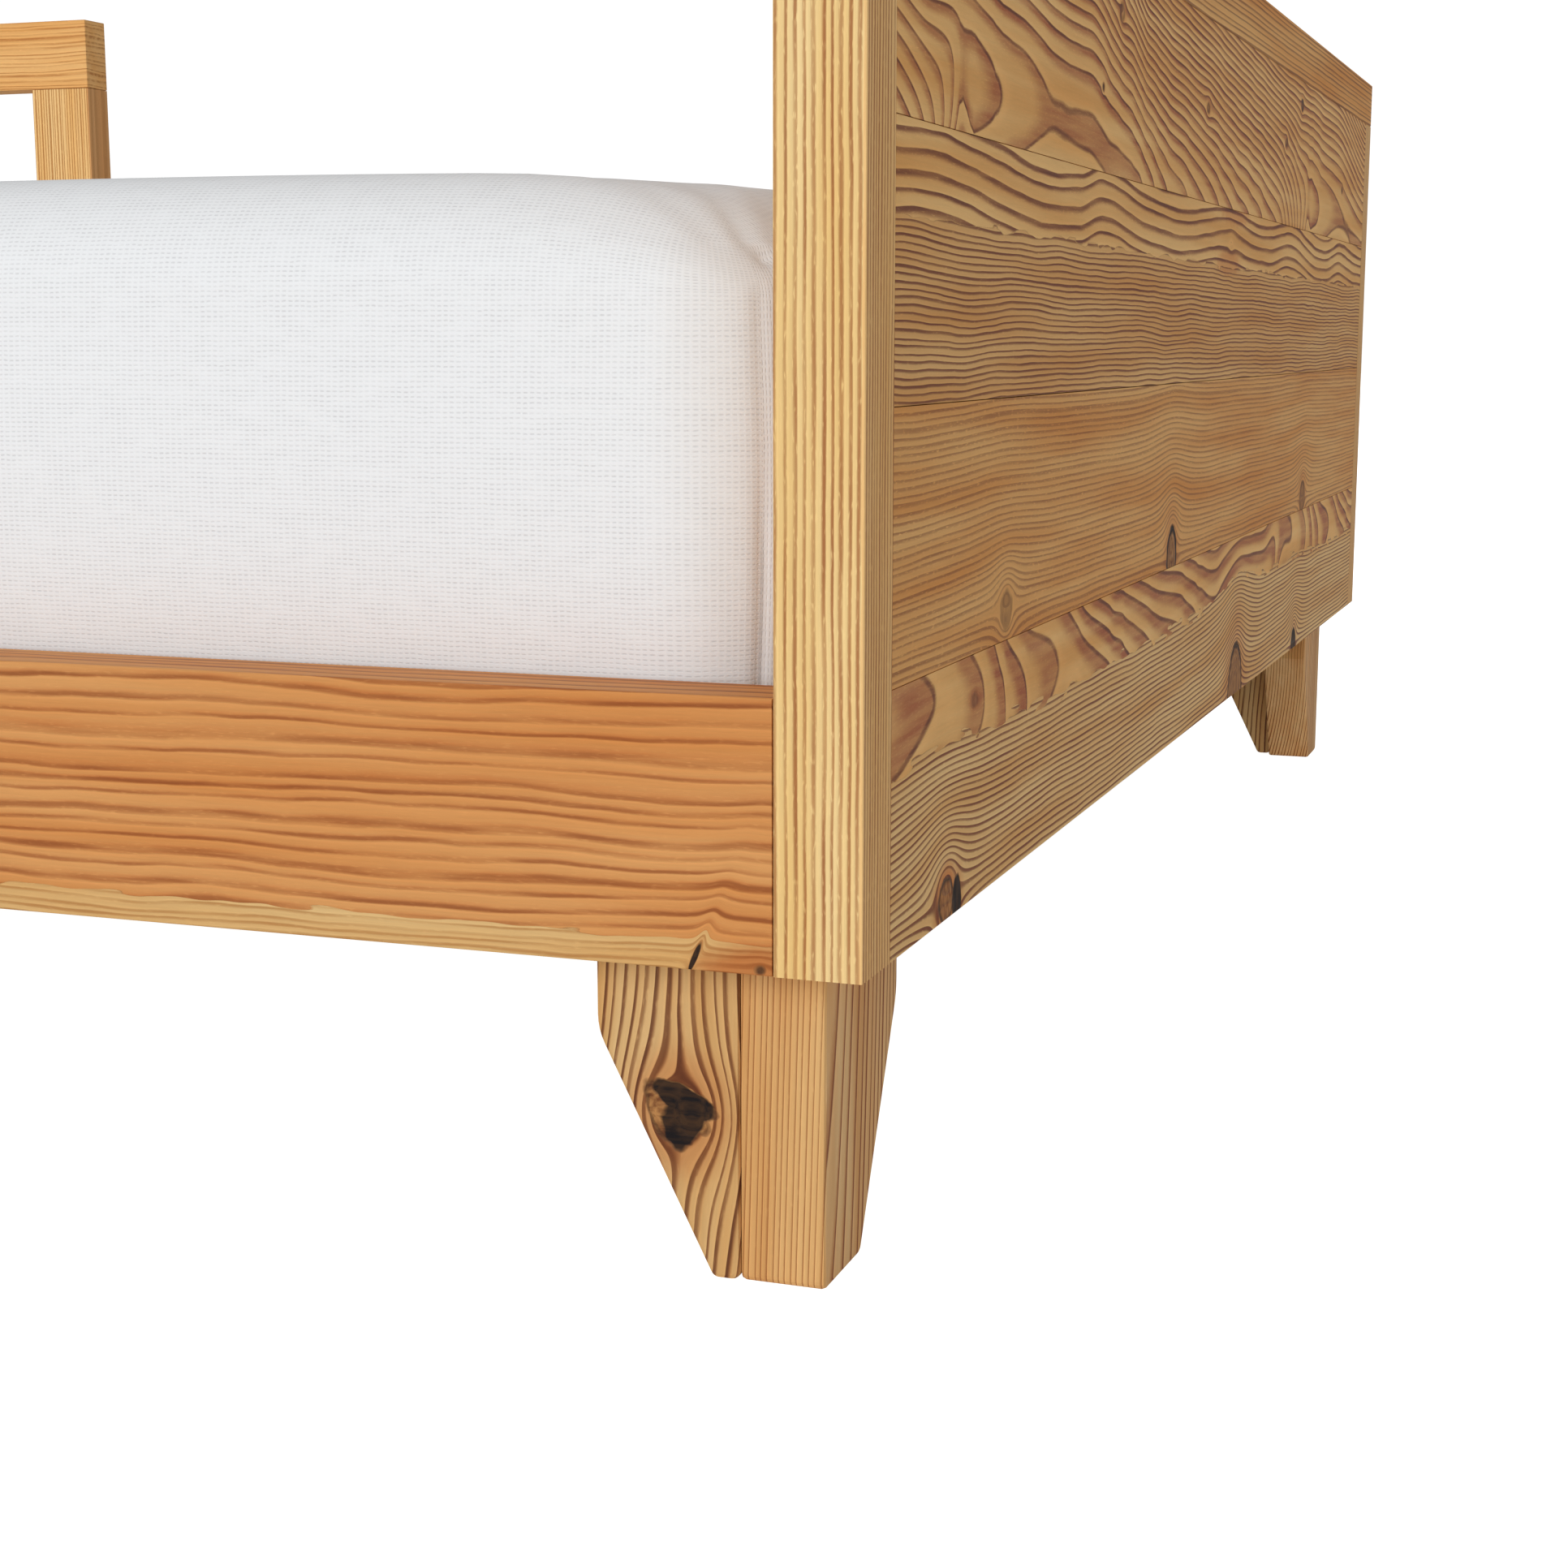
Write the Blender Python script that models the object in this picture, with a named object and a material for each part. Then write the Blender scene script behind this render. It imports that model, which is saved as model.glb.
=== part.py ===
"""Toddler floor bed in solid pine, with its mattress and fitted sheet.

The bed stands on four short L-shaped legs. Two end panels of grooved posts and
tongued planks carry two side rails, notched cleats and loose-laid slats, and a
guard frame stands on the head half of the back rail.

Metres, +Z up, +X towards the foot end, +Y towards the guard. The origin is on
the floor, under the middle of the bed.
"""

import math

import bmesh
import bpy
from mathutils import Vector

# Timber stock: every board and square post is planed to this thickness.
BOARD = 0.018
ARRIS = 0.0004  # the free edges of the frame, taken off with sandpaper

# Gaps between pieces.
GLUE_LINE = 0.0002  # between two pieces that meet face to face
FIT = 0.0003  # round a tongue, tenon, bolt or slat in its seat
RELIEF = 0.0005  # at the bottom of a groove, mortise or hole
OVERRUN = 0.002  # how far a cutter runs past the face that it cuts

# Mattress and fitted sheet.
MATTRESS_LENGTH = 1.321
MATTRESS_WIDTH = 0.711
MATTRESS_ROOM = 0.005  # from the mattress to the frame, all round
BED_HEIGHT = 0.1265  # from the slats to the sheet's top edge
CROWN = 0.004  # rise of the middle above the top edge
SHEET = 0.001
SHEET_ROOM = 0.0003  # between the sheet and the mattress
SOFT_CORNER = 0.030  # upright corners, seen from above
SOFT_TOP_EDGE = 0.026
SOFT_BOTTOM_EDGE = 0.014
BELLY = 0.0020  # how far the sides swell at half height
SIDE_DRAW = 0.0025  # how far the sides pull in between the corners
HEM_REACH = 0.060  # of the sheet under the mattress
RIDGE = 0.045  # half width of the flat middle of the crown

# End panels: four planks of one height, and the cap over them.
PLANK = 0.054
CAP = 0.018

# Joints of the planks, posts, rails and cap.
TONGUE = 0.006  # thickness of every tongue and tenon
TONGUE_LENGTH = 0.0045
CAP_SHOULDER = 0.006  # from a post's outer face to the tongue on its top

# Side rails, cleats and slats.
RAIL_HEIGHT = 0.054
CLEAT_HEIGHT = 0.022
SLAT_SEAT = 0.016  # from the frame's underside to the notch floor
SLAT_THICKNESS = 0.012
SLAT_WIDTH = 0.075
SLAT_COUNT = 9
SLAT_END_ROOM = 0.0010
SLAT_ARRIS = 0.0015

# Guard frame on the back rail.
GUARD_LENGTH = 0.679
GUARD_HEIGHT = 0.234
GUARD_CAP = 0.035
GUARD_POST = 0.035
GUARD_TENON = 0.014  # length of the posts' tenons
GUARD_SHOULDER = 0.006

# Legs: two boards butted into an L, round a block that takes the bolt.
LEG_HEIGHT = 0.067
LEG_INSET = 0.011  # from the ends and the front
LEG_BACK_INSET = 0.0275
LEG_WIDTH = 0.049
LEG_FOOT = 0.024
LEG_STRAIGHT = 0.017  # upright part above the taper
LEG_KINK_RADIUS = 0.014
LEG_FOOT_RADIUS = 0.0020
LEG_ARRIS = 0.0010
LEG_BLOCK = 0.026
LEG_BLOCK_HEIGHT = 0.024
LEG_BLOCK_ARRIS = 0.0008

# Corner blocks inside the frame.
BLOCK_MARGIN = 0.002  # past the leg's inner edges
BLOCK_CUT = 0.014  # cut off the inner corner

# Bolts, inserts and screws.
BOLT_RADIUS = 0.0030
HEAD_RADIUS = 0.0050
HEAD_HEIGHT = 0.0060
HEAD_EASE = 0.0006
SOCKET_ACROSS = 0.0050
SOCKET_DEPTH = 0.0030
BOLT_TIP = 0.0010
BOLT_TIP_RADIUS = 0.0022
INSERT_RADIUS = 0.0050
INSERT_HEIGHT = 0.0140
SCREW_FROM_END = 0.0090
SCREW_BITE = 0.0120
SCREW_HEAD_HEIGHT = 0.0035
SCREW_TIP = 0.0040
SCREW_TIP_RADIUS = 0.0008

# Steps of round shapes and edges.
ROUND_STEPS = 20
ARC_STEPS = 4
ARRIS_STEPS = 2
SOFT_CORNER_STEPS = 5
SOFT_EDGE_STEPS = 4
LONG_SIDE_STEPS = 6
SHORT_SIDE_STEPS = 4
PLANK_NAMES = ("low", "middle", "upper", "top")
SIDE_BAND_SHARES = (0.3, 0.7)
CROWN_SHARES = (0.15, 0.4, 0.7, 1.0)
HEXAGON = 6
CRISP_ANGLE = math.radians(35)  # sharper edges than this stay sharp on wood and steel
SOFT_ANGLE = math.radians(50)  # and on cloth

# Places that follow from the sizes above.
INNER_HALF_LENGTH = MATTRESS_LENGTH / 2 + MATTRESS_ROOM
INNER_HALF_WIDTH = MATTRESS_WIDTH / 2 + MATTRESS_ROOM
HALF_LENGTH = INNER_HALF_LENGTH + BOARD
HALF_WIDTH = INNER_HALF_WIDTH + BOARD
FRAME_BASE = LEG_HEIGHT
CAP_BASE = FRAME_BASE + PLANK * len(PLANK_NAMES)
RAIL_TOP = FRAME_BASE + RAIL_HEIGHT
SLAT_BASE = FRAME_BASE + SLAT_SEAT + GLUE_LINE
SLAT_TOP = SLAT_BASE + SLAT_THICKNESS
BED_BASE = SLAT_TOP + FIT
GROOVE = TONGUE + FIT + FIT
GROOVE_DEPTH = TONGUE_LENGTH + RELIEF
SHOULDER = (BOARD - TONGUE) / 2
LEG_TOP = FRAME_BASE - GLUE_LINE
BLOCK_HEIGHT = SLAT_SEAT + SLAT_THICKNESS
BLOCK_START = BOARD + GLUE_LINE
BOLT_FROM_CORNER = BLOCK_START + LEG_BLOCK / 2

FRONT = -1
BACK = 1
HEAD = -1
FOOT = 1


def leg_inset(side):
    """Distance from the bed's front or back face to the leg."""
    return LEG_INSET if side == FRONT else LEG_BACK_INSET


def clear_scene():
    for old in list(bpy.data.objects):
        bpy.data.objects.remove(old, do_unlink=True)


def finish(name, colour, roughness, metallic=0.0):
    made = bpy.data.materials.get(name)
    if made is None:
        made = bpy.data.materials.new(name)
        made.use_nodes = True
        shader = made.node_tree.nodes["Principled BSDF"]
        shader.inputs["Base Color"].default_value = (*colour, 1)
        shader.inputs["Roughness"].default_value = roughness
        shader.inputs["Metallic"].default_value = metallic
    return made


def honey_pine():
    """Upright-grained posts and legs, the lightest wood."""
    return finish("honey_pine", (0.76, 0.52, 0.25), 0.55)


def orange_pine():
    """Long rails, with more heartwood."""
    return finish("orange_pine", (0.62, 0.33, 0.12), 0.55)


def brown_pine():
    """Wide planks of the end panels."""
    return finish("brown_pine", (0.50, 0.31, 0.15), 0.58)


def plain_pine():
    """Slats, cleats and blocks, sanded and left bare."""
    return finish("plain_pine", (0.72, 0.55, 0.34), 0.65)


def zinc_steel():
    return finish("zinc_steel", (0.55, 0.55, 0.56), 0.35, 1.0)


def mattress_cloth():
    return finish("mattress_cloth", (0.80, 0.78, 0.74), 0.9)


def sheet_cloth():
    return finish("sheet_cloth", (0.86, 0.85, 0.86), 0.92)


def piece(name, form, coat):
    """Turn a bmesh into a named object with its normals out."""
    bmesh.ops.recalc_face_normals(form, faces=form.faces)
    mesh = bpy.data.meshes.new(name)
    form.to_mesh(mesh)
    form.free()
    mesh.materials.append(coat)
    made = bpy.data.objects.new(name, mesh)
    bpy.context.scene.collection.objects.link(made)
    return made


def smooth(made, angle=CRISP_ANGLE):
    made.data.shade_smooth()
    made.data.set_sharp_from_angle(angle=angle)
    return made


def cut(target, form):
    """Cut a hidden cutter out of a piece."""
    count = sum(modifier.type == "BOOLEAN" for modifier in target.modifiers)
    cutter = piece(f"{target.name}_cutter_{count + 1}", form, plain_pine())
    cutter.hide_render = True
    cutter.display_type = "WIRE"
    boolean = target.modifiers.new(f"cut_{count + 1}", "BOOLEAN")
    boolean.operation = "DIFFERENCE"
    boolean.solver = "EXACT"
    boolean.object = cutter
    return target


def join(forms):
    """Put several separate bodies into one bmesh."""
    whole = bmesh.new()
    for form in forms:
        mesh = bpy.data.meshes.new("part_of_cutter")
        form.to_mesh(mesh)
        form.free()
        whole.from_mesh(mesh)
        bpy.data.meshes.remove(mesh)
    return whole


def box(corner, opposite):
    """A box between two opposite corners, in any order."""
    low = Vector(map(min, corner, opposite))
    high = Vector(map(max, corner, opposite))
    form = bmesh.new()
    bmesh.ops.create_cube(form, size=1)
    bmesh.ops.scale(form, vec=high - low, verts=form.verts)
    bmesh.ops.translate(form, vec=(low + high) / 2, verts=form.verts)
    return form


def prism(outline, start, end):
    """Extrude a closed outline of 3-D points, all at the start, along end - start."""
    form = bmesh.new()
    face = form.faces.new([form.verts.new(point) for point in outline])
    raised = bmesh.ops.extrude_face_region(form, geom=[face])
    moved = [item for item in raised["geom"] if isinstance(item, bmesh.types.BMVert)]
    bmesh.ops.translate(form, vec=Vector(end) - Vector(start), verts=moved)
    return form


def tube(radius, start, end):
    """A round rod between two points, for bolt holes."""
    axis = Vector(end) - Vector(start)
    form = bmesh.new()
    bmesh.ops.create_cone(
        form,
        cap_ends=True,
        segments=ROUND_STEPS,
        radius1=radius,
        radius2=radius,
        depth=axis.length,
    )
    turn = Vector((0, 0, 1)).rotation_difference(axis).to_matrix()
    bmesh.ops.rotate(form, matrix=turn, verts=form.verts)
    bmesh.ops.translate(form, vec=(Vector(start) + Vector(end)) / 2, verts=form.verts)
    return form


def add_tenon(form, direction, shoulder, length):
    """Inset the end face that looks along direction and draw it out as a tenon."""
    form.faces.ensure_lookup_table()
    bmesh.ops.recalc_face_normals(form, faces=form.faces)
    aim = Vector(direction)
    end = max(form.faces, key=lambda face: face.normal.dot(aim))
    bmesh.ops.inset_individual(
        form, faces=[end], thickness=shoulder, use_even_offset=True
    )
    drawn = bmesh.ops.extrude_discrete_faces(form, faces=[end])["faces"][0]
    bmesh.ops.translate(form, vec=aim * length, verts=drawn.verts)


def rounded(corners, radii, steps=ARC_STEPS):
    """Round the corners of a 2-D outline, each by its own radius; 0 keeps it sharp."""
    points = []
    for index, (corner, radius) in enumerate(zip(corners, radii)):
        here = Vector(corner)
        if radius == 0:
            points.append(here)
            continue
        back = (Vector(corners[index - 1]) - here).normalized()
        on = (Vector(corners[(index + 1) % len(corners)]) - here).normalized()
        half = back.angle(on) / 2
        centre = here + (back + on).normalized() * radius / math.sin(half)
        first = here + back * radius / math.tan(half) - centre
        last = here + on * radius / math.tan(half) - centre
        turn = math.pi - 2 * half
        for step in range(steps + 1):
            share = step / steps
            arm = first * math.sin(turn * (1 - share)) + last * math.sin(turn * share)
            points.append(centre + arm / math.sin(turn))
    return points


def ease(form, edges, width):
    """Round a few edges over."""
    bmesh.ops.bevel(
        form,
        geom=edges,
        offset=width,
        offset_type="OFFSET",
        affect="EDGES",
        segments=ARRIS_STEPS,
        profile=0.5,
        material=-1,
        clamp_overlap=True,
    )


def runs_along(edge, way):
    """Whether a straight edge runs closer to a direction than across it."""
    return abs((edge.verts[1].co - edge.verts[0].co).normalized().dot(way)) > 0.5


def long_edges(form, least):
    """The edges of a straight piece that run along it."""
    return [edge for edge in form.edges if edge.calc_length() > least]


def end_panel(end, name):
    """Posts, planks and the cap of one end."""
    middle = end * (HALF_LENGTH - BOARD / 2)
    for side, place in ((FRONT, "front"), (BACK, "back")):
        end_post(f"{name}_{place}_post", end, side, middle)
    for row, place in enumerate(PLANK_NAMES):
        plank(f"{name}_{place}_plank", middle, row)
    end_cap(f"{name}_cap", middle)


def end_post(name, end, side, middle):
    """A square post: grooved for the planks, mortised for the rail, tongued for the cap."""
    left = middle - BOARD / 2
    right = middle + BOARD / 2
    outer = side * HALF_WIDTH
    inner = side * INNER_HALF_WIDTH
    groove_floor = inner + side * GROOVE_DEPTH
    outline = [
        (left, outer),
        (left, inner),
        (middle - GROOVE / 2, inner),
        (middle - GROOVE / 2, groove_floor),
        (middle + GROOVE / 2, groove_floor),
        (middle + GROOVE / 2, inner),
        (right, inner),
        (right, outer),
    ]
    eased = rounded(outline, [ARRIS] + [0] * (len(outline) - 2) + [ARRIS], ARRIS_STEPS)
    post_top = CAP_BASE - GLUE_LINE
    made = piece(
        name,
        prism(
            [(x, y, FRAME_BASE) for x, y in eased],
            (0, 0, FRAME_BASE),
            (0, 0, CAP_BASE + TONGUE_LENGTH),
        ),
        honey_pine(),
    )
    past = side * OVERRUN
    rebate = [
        (left - OVERRUN, outer + past),
        (right + OVERRUN, outer + past),
        (right + OVERRUN, inner - past),
        (middle + TONGUE / 2, inner - past),
        (middle + TONGUE / 2, outer - side * CAP_SHOULDER),
        (middle - TONGUE / 2, outer - side * CAP_SHOULDER),
        (middle - TONGUE / 2, inner - past),
        (left - OVERRUN, inner - past),
    ]
    cut(
        made,
        prism(
            [(x, y, post_top) for x, y in rebate],
            (0, 0, post_top),
            (0, 0, CAP_BASE + TONGUE_LENGTH + OVERRUN),
        ),
    )
    face = end * INNER_HALF_LENGTH
    centre = side * (HALF_WIDTH - BOARD / 2)
    cut(
        made,
        box(
            (face - end * OVERRUN, centre - GROOVE / 2, FRAME_BASE + SHOULDER - FIT),
            (face + end * GROOVE_DEPTH, centre + GROOVE / 2, RAIL_TOP - SHOULDER + FIT),
        ),
    )


def plank(name, middle, row):
    """A plank with a tongue on top, a groove below and a tongue on each end."""
    left = middle - BOARD / 2
    right = middle + BOARD / 2
    base = FRAME_BASE + PLANK * row
    top = base + PLANK
    lowest = row == 0
    highest = row == len(PLANK_NAMES) - 1
    bottom = base if lowest else base + GLUE_LINE
    shoulder = top - GLUE_LINE if highest else top
    outline = [(left, bottom)]
    if not lowest:
        groove_roof = base + TONGUE_LENGTH + RELIEF
        outline += [
            (middle - GROOVE / 2, bottom),
            (middle - GROOVE / 2, groove_roof),
            (middle + GROOVE / 2, groove_roof),
            (middle + GROOVE / 2, bottom),
        ]
    outline += [
        (right, bottom),
        (right, shoulder),
        (middle + TONGUE / 2, shoulder),
        (middle + TONGUE / 2, top + TONGUE_LENGTH),
        (middle - TONGUE / 2, top + TONGUE_LENGTH),
        (middle - TONGUE / 2, shoulder),
        (left, shoulder),
    ]
    reach = INNER_HALF_WIDTH + TONGUE_LENGTH
    made = piece(
        name,
        prism(
            [(x, -reach, z) for x, z in outline], (0, -reach, 0), (0, reach, 0)
        ),
        brown_pine(),
    )
    cheeks = []
    for side in (FRONT, BACK):
        for face in (-1, 1):
            cheeks.append(
                box(
                    (
                        middle + face * TONGUE / 2,
                        side * (INNER_HALF_WIDTH - GLUE_LINE),
                        base - OVERRUN,
                    ),
                    (
                        middle + face * (BOARD / 2 + OVERRUN),
                        side * (reach + OVERRUN),
                        top + TONGUE_LENGTH + OVERRUN,
                    ),
                )
            )
    cut(made, join(cheeks))


def end_cap(name, middle):
    """The cap that lies over the posts and the top plank, grooved for their tongues."""
    form = box(
        (middle - BOARD / 2, -HALF_WIDTH, CAP_BASE),
        (middle + BOARD / 2, HALF_WIDTH, CAP_BASE + CAP),
    )
    ease(form, list(form.edges), ARRIS)
    made = piece(name, form, honey_pine())
    groove_end = HALF_WIDTH - CAP_SHOULDER + FIT
    cut(
        made,
        box(
            (middle - GROOVE / 2, -groove_end, CAP_BASE - OVERRUN),
            (middle + GROOVE / 2, groove_end, CAP_BASE + GROOVE_DEPTH),
        ),
    )


def side_rail(name, side):
    """A side rail with a stub tenon on each end, drilled for the corner screws."""
    outer = side * HALF_WIDTH
    inner = side * INNER_HALF_WIDTH
    half = INNER_HALF_LENGTH - GLUE_LINE
    form = box((-half, outer, FRAME_BASE), (half, inner, RAIL_TOP))
    for end in (HEAD, FOOT):
        add_tenon(form, (end, 0, 0), SHOULDER, TONGUE_LENGTH + GLUE_LINE)
    ease(form, long_edges(form, INNER_HALF_LENGTH), ARRIS)
    made = piece(name, form, orange_pine())
    holes = []
    for end in (HEAD, FOOT):
        across, height = screw_place(end)
        holes.append(
            tube(
                BOLT_RADIUS + FIT,
                (across, inner - side * OVERRUN, height),
                (across, inner + side * (SCREW_BITE + RELIEF), height),
            )
        )
    cut(made, join(holes))
    return made


def guard_post_places():
    """Lowest and highest X of the guard's two posts."""
    start = -INNER_HALF_LENGTH + GLUE_LINE
    stop = start + GUARD_LENGTH
    return {
        "head": (start, start + GUARD_POST),
        "foot": (stop - GUARD_POST, stop),
    }


def guard_mortise(low, high, height, depth):
    """The cutter of a guard post's mortise, from a face up or down by depth."""
    centre = HALF_WIDTH - BOARD / 2
    past = math.copysign(OVERRUN, depth)
    return box(
        (low + GUARD_SHOULDER - FIT, centre - GROOVE / 2, height - past),
        (high - GUARD_SHOULDER + FIT, centre + GROOVE / 2, height + depth),
    )


def guard():
    """Two posts tenoned into the back rail and into the cap that lies over them."""
    top = RAIL_TOP + GUARD_HEIGHT
    under_cap = top - GUARD_CAP
    places = guard_post_places()
    form = box(
        (places["head"][0], INNER_HALF_WIDTH, under_cap),
        (places["foot"][1], HALF_WIDTH, top),
    )
    ease(form, list(form.edges), ARRIS)
    cap = piece("guard_cap", form, orange_pine())
    depth = GUARD_TENON + RELIEF
    cut(cap, join([guard_mortise(*place, under_cap, depth) for place in places.values()]))
    for name, (low, high) in places.items():
        form = box(
            (low, INNER_HALF_WIDTH, RAIL_TOP + GLUE_LINE),
            (high, HALF_WIDTH, under_cap - GLUE_LINE),
        )
        for way in (-1, 1):
            add_tenon(form, (0, 0, way), GUARD_SHOULDER, GUARD_TENON + GLUE_LINE)
        ease(form, long_edges(form, GUARD_HEIGHT / 2), ARRIS)
        piece(f"guard_{name}_post", form, honey_pine())


def cleat_half_length():
    """Each cleat runs from corner block to corner block."""
    return HALF_LENGTH - LEG_INSET - LEG_WIDTH - BLOCK_MARGIN - GLUE_LINE


def slat_middles():
    pitch = 2 * cleat_half_length() / SLAT_COUNT
    return [pitch * (index + 0.5 - SLAT_COUNT / 2) for index in range(SLAT_COUNT)]


def cleat(name, side):
    """A strip along the rail, notched for the slats."""
    half = cleat_half_length()
    near = side * (INNER_HALF_WIDTH - GLUE_LINE)
    far = near - side * BOARD
    made = piece(
        name,
        box((-half, near, FRAME_BASE), (half, far, FRAME_BASE + CLEAT_HEIGHT)),
        plain_pine(),
    )
    notches = []
    for middle in slat_middles():
        notches.append(
            box(
                (
                    middle - SLAT_WIDTH / 2 - FIT,
                    near + side * OVERRUN,
                    FRAME_BASE + SLAT_SEAT,
                ),
                (
                    middle + SLAT_WIDTH / 2 + FIT,
                    far - side * OVERRUN,
                    FRAME_BASE + CLEAT_HEIGHT + OVERRUN,
                ),
            )
        )
    cut(made, join(notches))


def slats():
    """Slats that lie in the cleats' notches."""
    half = INNER_HALF_WIDTH - SLAT_END_ROOM
    for index, middle in enumerate(slat_middles()):
        form = box(
            (middle - SLAT_WIDTH / 2, -half, SLAT_BASE),
            (middle + SLAT_WIDTH / 2, half, SLAT_TOP),
        )
        ease(form, long_edges(form, INNER_HALF_WIDTH), SLAT_ARRIS)
        piece(f"slat_{index + 1:02d}", form, plain_pine())


def leg_outline(start):
    """One leg board: inward distance from the leg's corner, and height."""
    corners = [
        (start, 0),
        (LEG_FOOT, 0),
        (LEG_WIDTH, LEG_TOP - LEG_STRAIGHT),
        (LEG_WIDTH, LEG_TOP),
        (start, LEG_TOP),
    ]
    radii = [LEG_FOOT_RADIUS, LEG_FOOT_RADIUS, LEG_KINK_RADIUS, 0, 0]
    return rounded(corners, radii)


def leg_board(name, outline, place):
    """A tapered board with rounded arrises; place turns (along, depth, height) to 3-D."""
    first = [place(along, 0, height) for along, height in outline]
    shift = place(0, BOARD, 0) - place(0, 0, 0)
    form = prism(first, (0, 0, 0), shift)
    depth_way = shift.normalized()
    rims = [edge for edge in form.edges if not runs_along(edge, depth_way)]
    ease(form, rims, LEG_ARRIS)
    return smooth(piece(name, form, honey_pine()))


def leg(end, side, name):
    """Two tapered boards butted into an L, with a glued block and its bolt."""
    corner_x = end * (HALF_LENGTH - LEG_INSET)
    corner_y = side * (HALF_WIDTH - leg_inset(side))

    def inward(along_x, along_y, height):
        return Vector((corner_x - end * along_x, corner_y - side * along_y, height))

    leg_board(
        f"{name}_leg_side_board",
        leg_outline(0),
        lambda along, depth, height: inward(depth, along, height),
    )
    leg_board(
        f"{name}_leg_face_board",
        leg_outline(BLOCK_START),
        lambda along, depth, height: inward(along, depth, height),
    )
    reach = BLOCK_START + LEG_BLOCK
    under = LEG_TOP - LEG_BLOCK_HEIGHT
    form = box(inward(BLOCK_START, BLOCK_START, under), inward(reach, reach, LEG_TOP))
    upright = [edge for edge in form.edges if runs_along(edge, Vector((0, 0, 1)))]
    ease(form, upright, LEG_BLOCK_ARRIS)
    block = piece(f"{name}_leg_block", form, plain_pine())
    middle = BOLT_FROM_CORNER
    cut(
        block,
        tube(
            BOLT_RADIUS + FIT,
            inward(middle, middle, under - OVERRUN),
            inward(middle, middle, LEG_TOP + OVERRUN),
        ),
    )
    bolt(
        f"{name}_leg_bolt",
        inward(middle, middle, under - GLUE_LINE),
        inward(middle, middle, FRAME_BASE + INSERT_HEIGHT - BOLT_TIP),
        HEAD_HEIGHT,
        BOLT_TIP,
        BOLT_TIP_RADIUS,
    )


def corner_block(end, side, name):
    """The block in the frame's corner that holds the leg's insert and the rail's screw."""
    near_x = end * (INNER_HALF_LENGTH - GLUE_LINE)
    near_y = side * (INNER_HALF_WIDTH - GLUE_LINE)
    far_x = end * (HALF_LENGTH - LEG_INSET - LEG_WIDTH - BLOCK_MARGIN)
    far_y = side * (HALF_WIDTH - leg_inset(side) - LEG_WIDTH - BLOCK_MARGIN)
    outline = [
        (near_x, near_y),
        (far_x, near_y),
        (far_x, far_y + side * BLOCK_CUT),
        (far_x + end * BLOCK_CUT, far_y),
        (near_x, far_y),
    ]
    made = piece(
        f"{name}_corner_block",
        prism(
            [(x, y, FRAME_BASE) for x, y in outline],
            (0, 0, FRAME_BASE),
            (0, 0, FRAME_BASE + BLOCK_HEIGHT),
        ),
        plain_pine(),
    )
    bolt_x = end * (HALF_LENGTH - LEG_INSET - BOLT_FROM_CORNER)
    bolt_y = side * (HALF_WIDTH - leg_inset(side) - BOLT_FROM_CORNER)
    insert_hole = tube(
        INSERT_RADIUS + FIT,
        (bolt_x, bolt_y, FRAME_BASE - OVERRUN),
        (bolt_x, bolt_y, FRAME_BASE + INSERT_HEIGHT + FIT),
    )
    across, height = screw_place(end)
    screw_hole = tube(
        BOLT_RADIUS + FIT,
        (across, far_y - side * OVERRUN, height),
        (across, near_y + side * OVERRUN, height),
    )
    cut(made, join([insert_hole, screw_hole]))
    insert(f"{name}_leg_insert", (bolt_x, bolt_y, FRAME_BASE))
    bolt(
        f"{name}_rail_screw",
        (across, far_y - side * GLUE_LINE, height),
        (across, side * (INNER_HALF_WIDTH + SCREW_BITE), height),
        SCREW_HEAD_HEIGHT,
        SCREW_TIP,
        SCREW_TIP_RADIUS,
    )


def screw_place(end):
    """X and Z of the screws that run along Y from the corner blocks into the rails."""
    return end * (INNER_HALF_LENGTH - SCREW_FROM_END), FRAME_BASE + BLOCK_HEIGHT / 2


def spun(outline):
    """Turn a profile of (radius, height) once round Z."""
    form = bmesh.new()
    verts = [form.verts.new((radius, 0, height)) for radius, height in outline]
    edges = [form.edges.new(pair) for pair in zip(verts, verts[1:])]
    bmesh.ops.spin(
        form,
        geom=verts + edges,
        cent=(0, 0, 0),
        axis=(0, 0, 1),
        angle=math.tau,
        steps=ROUND_STEPS,
        use_merge=True,
    )
    bmesh.ops.remove_doubles(form, verts=form.verts, dist=HEAD_EASE / ROUND_STEPS)
    return form


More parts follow.
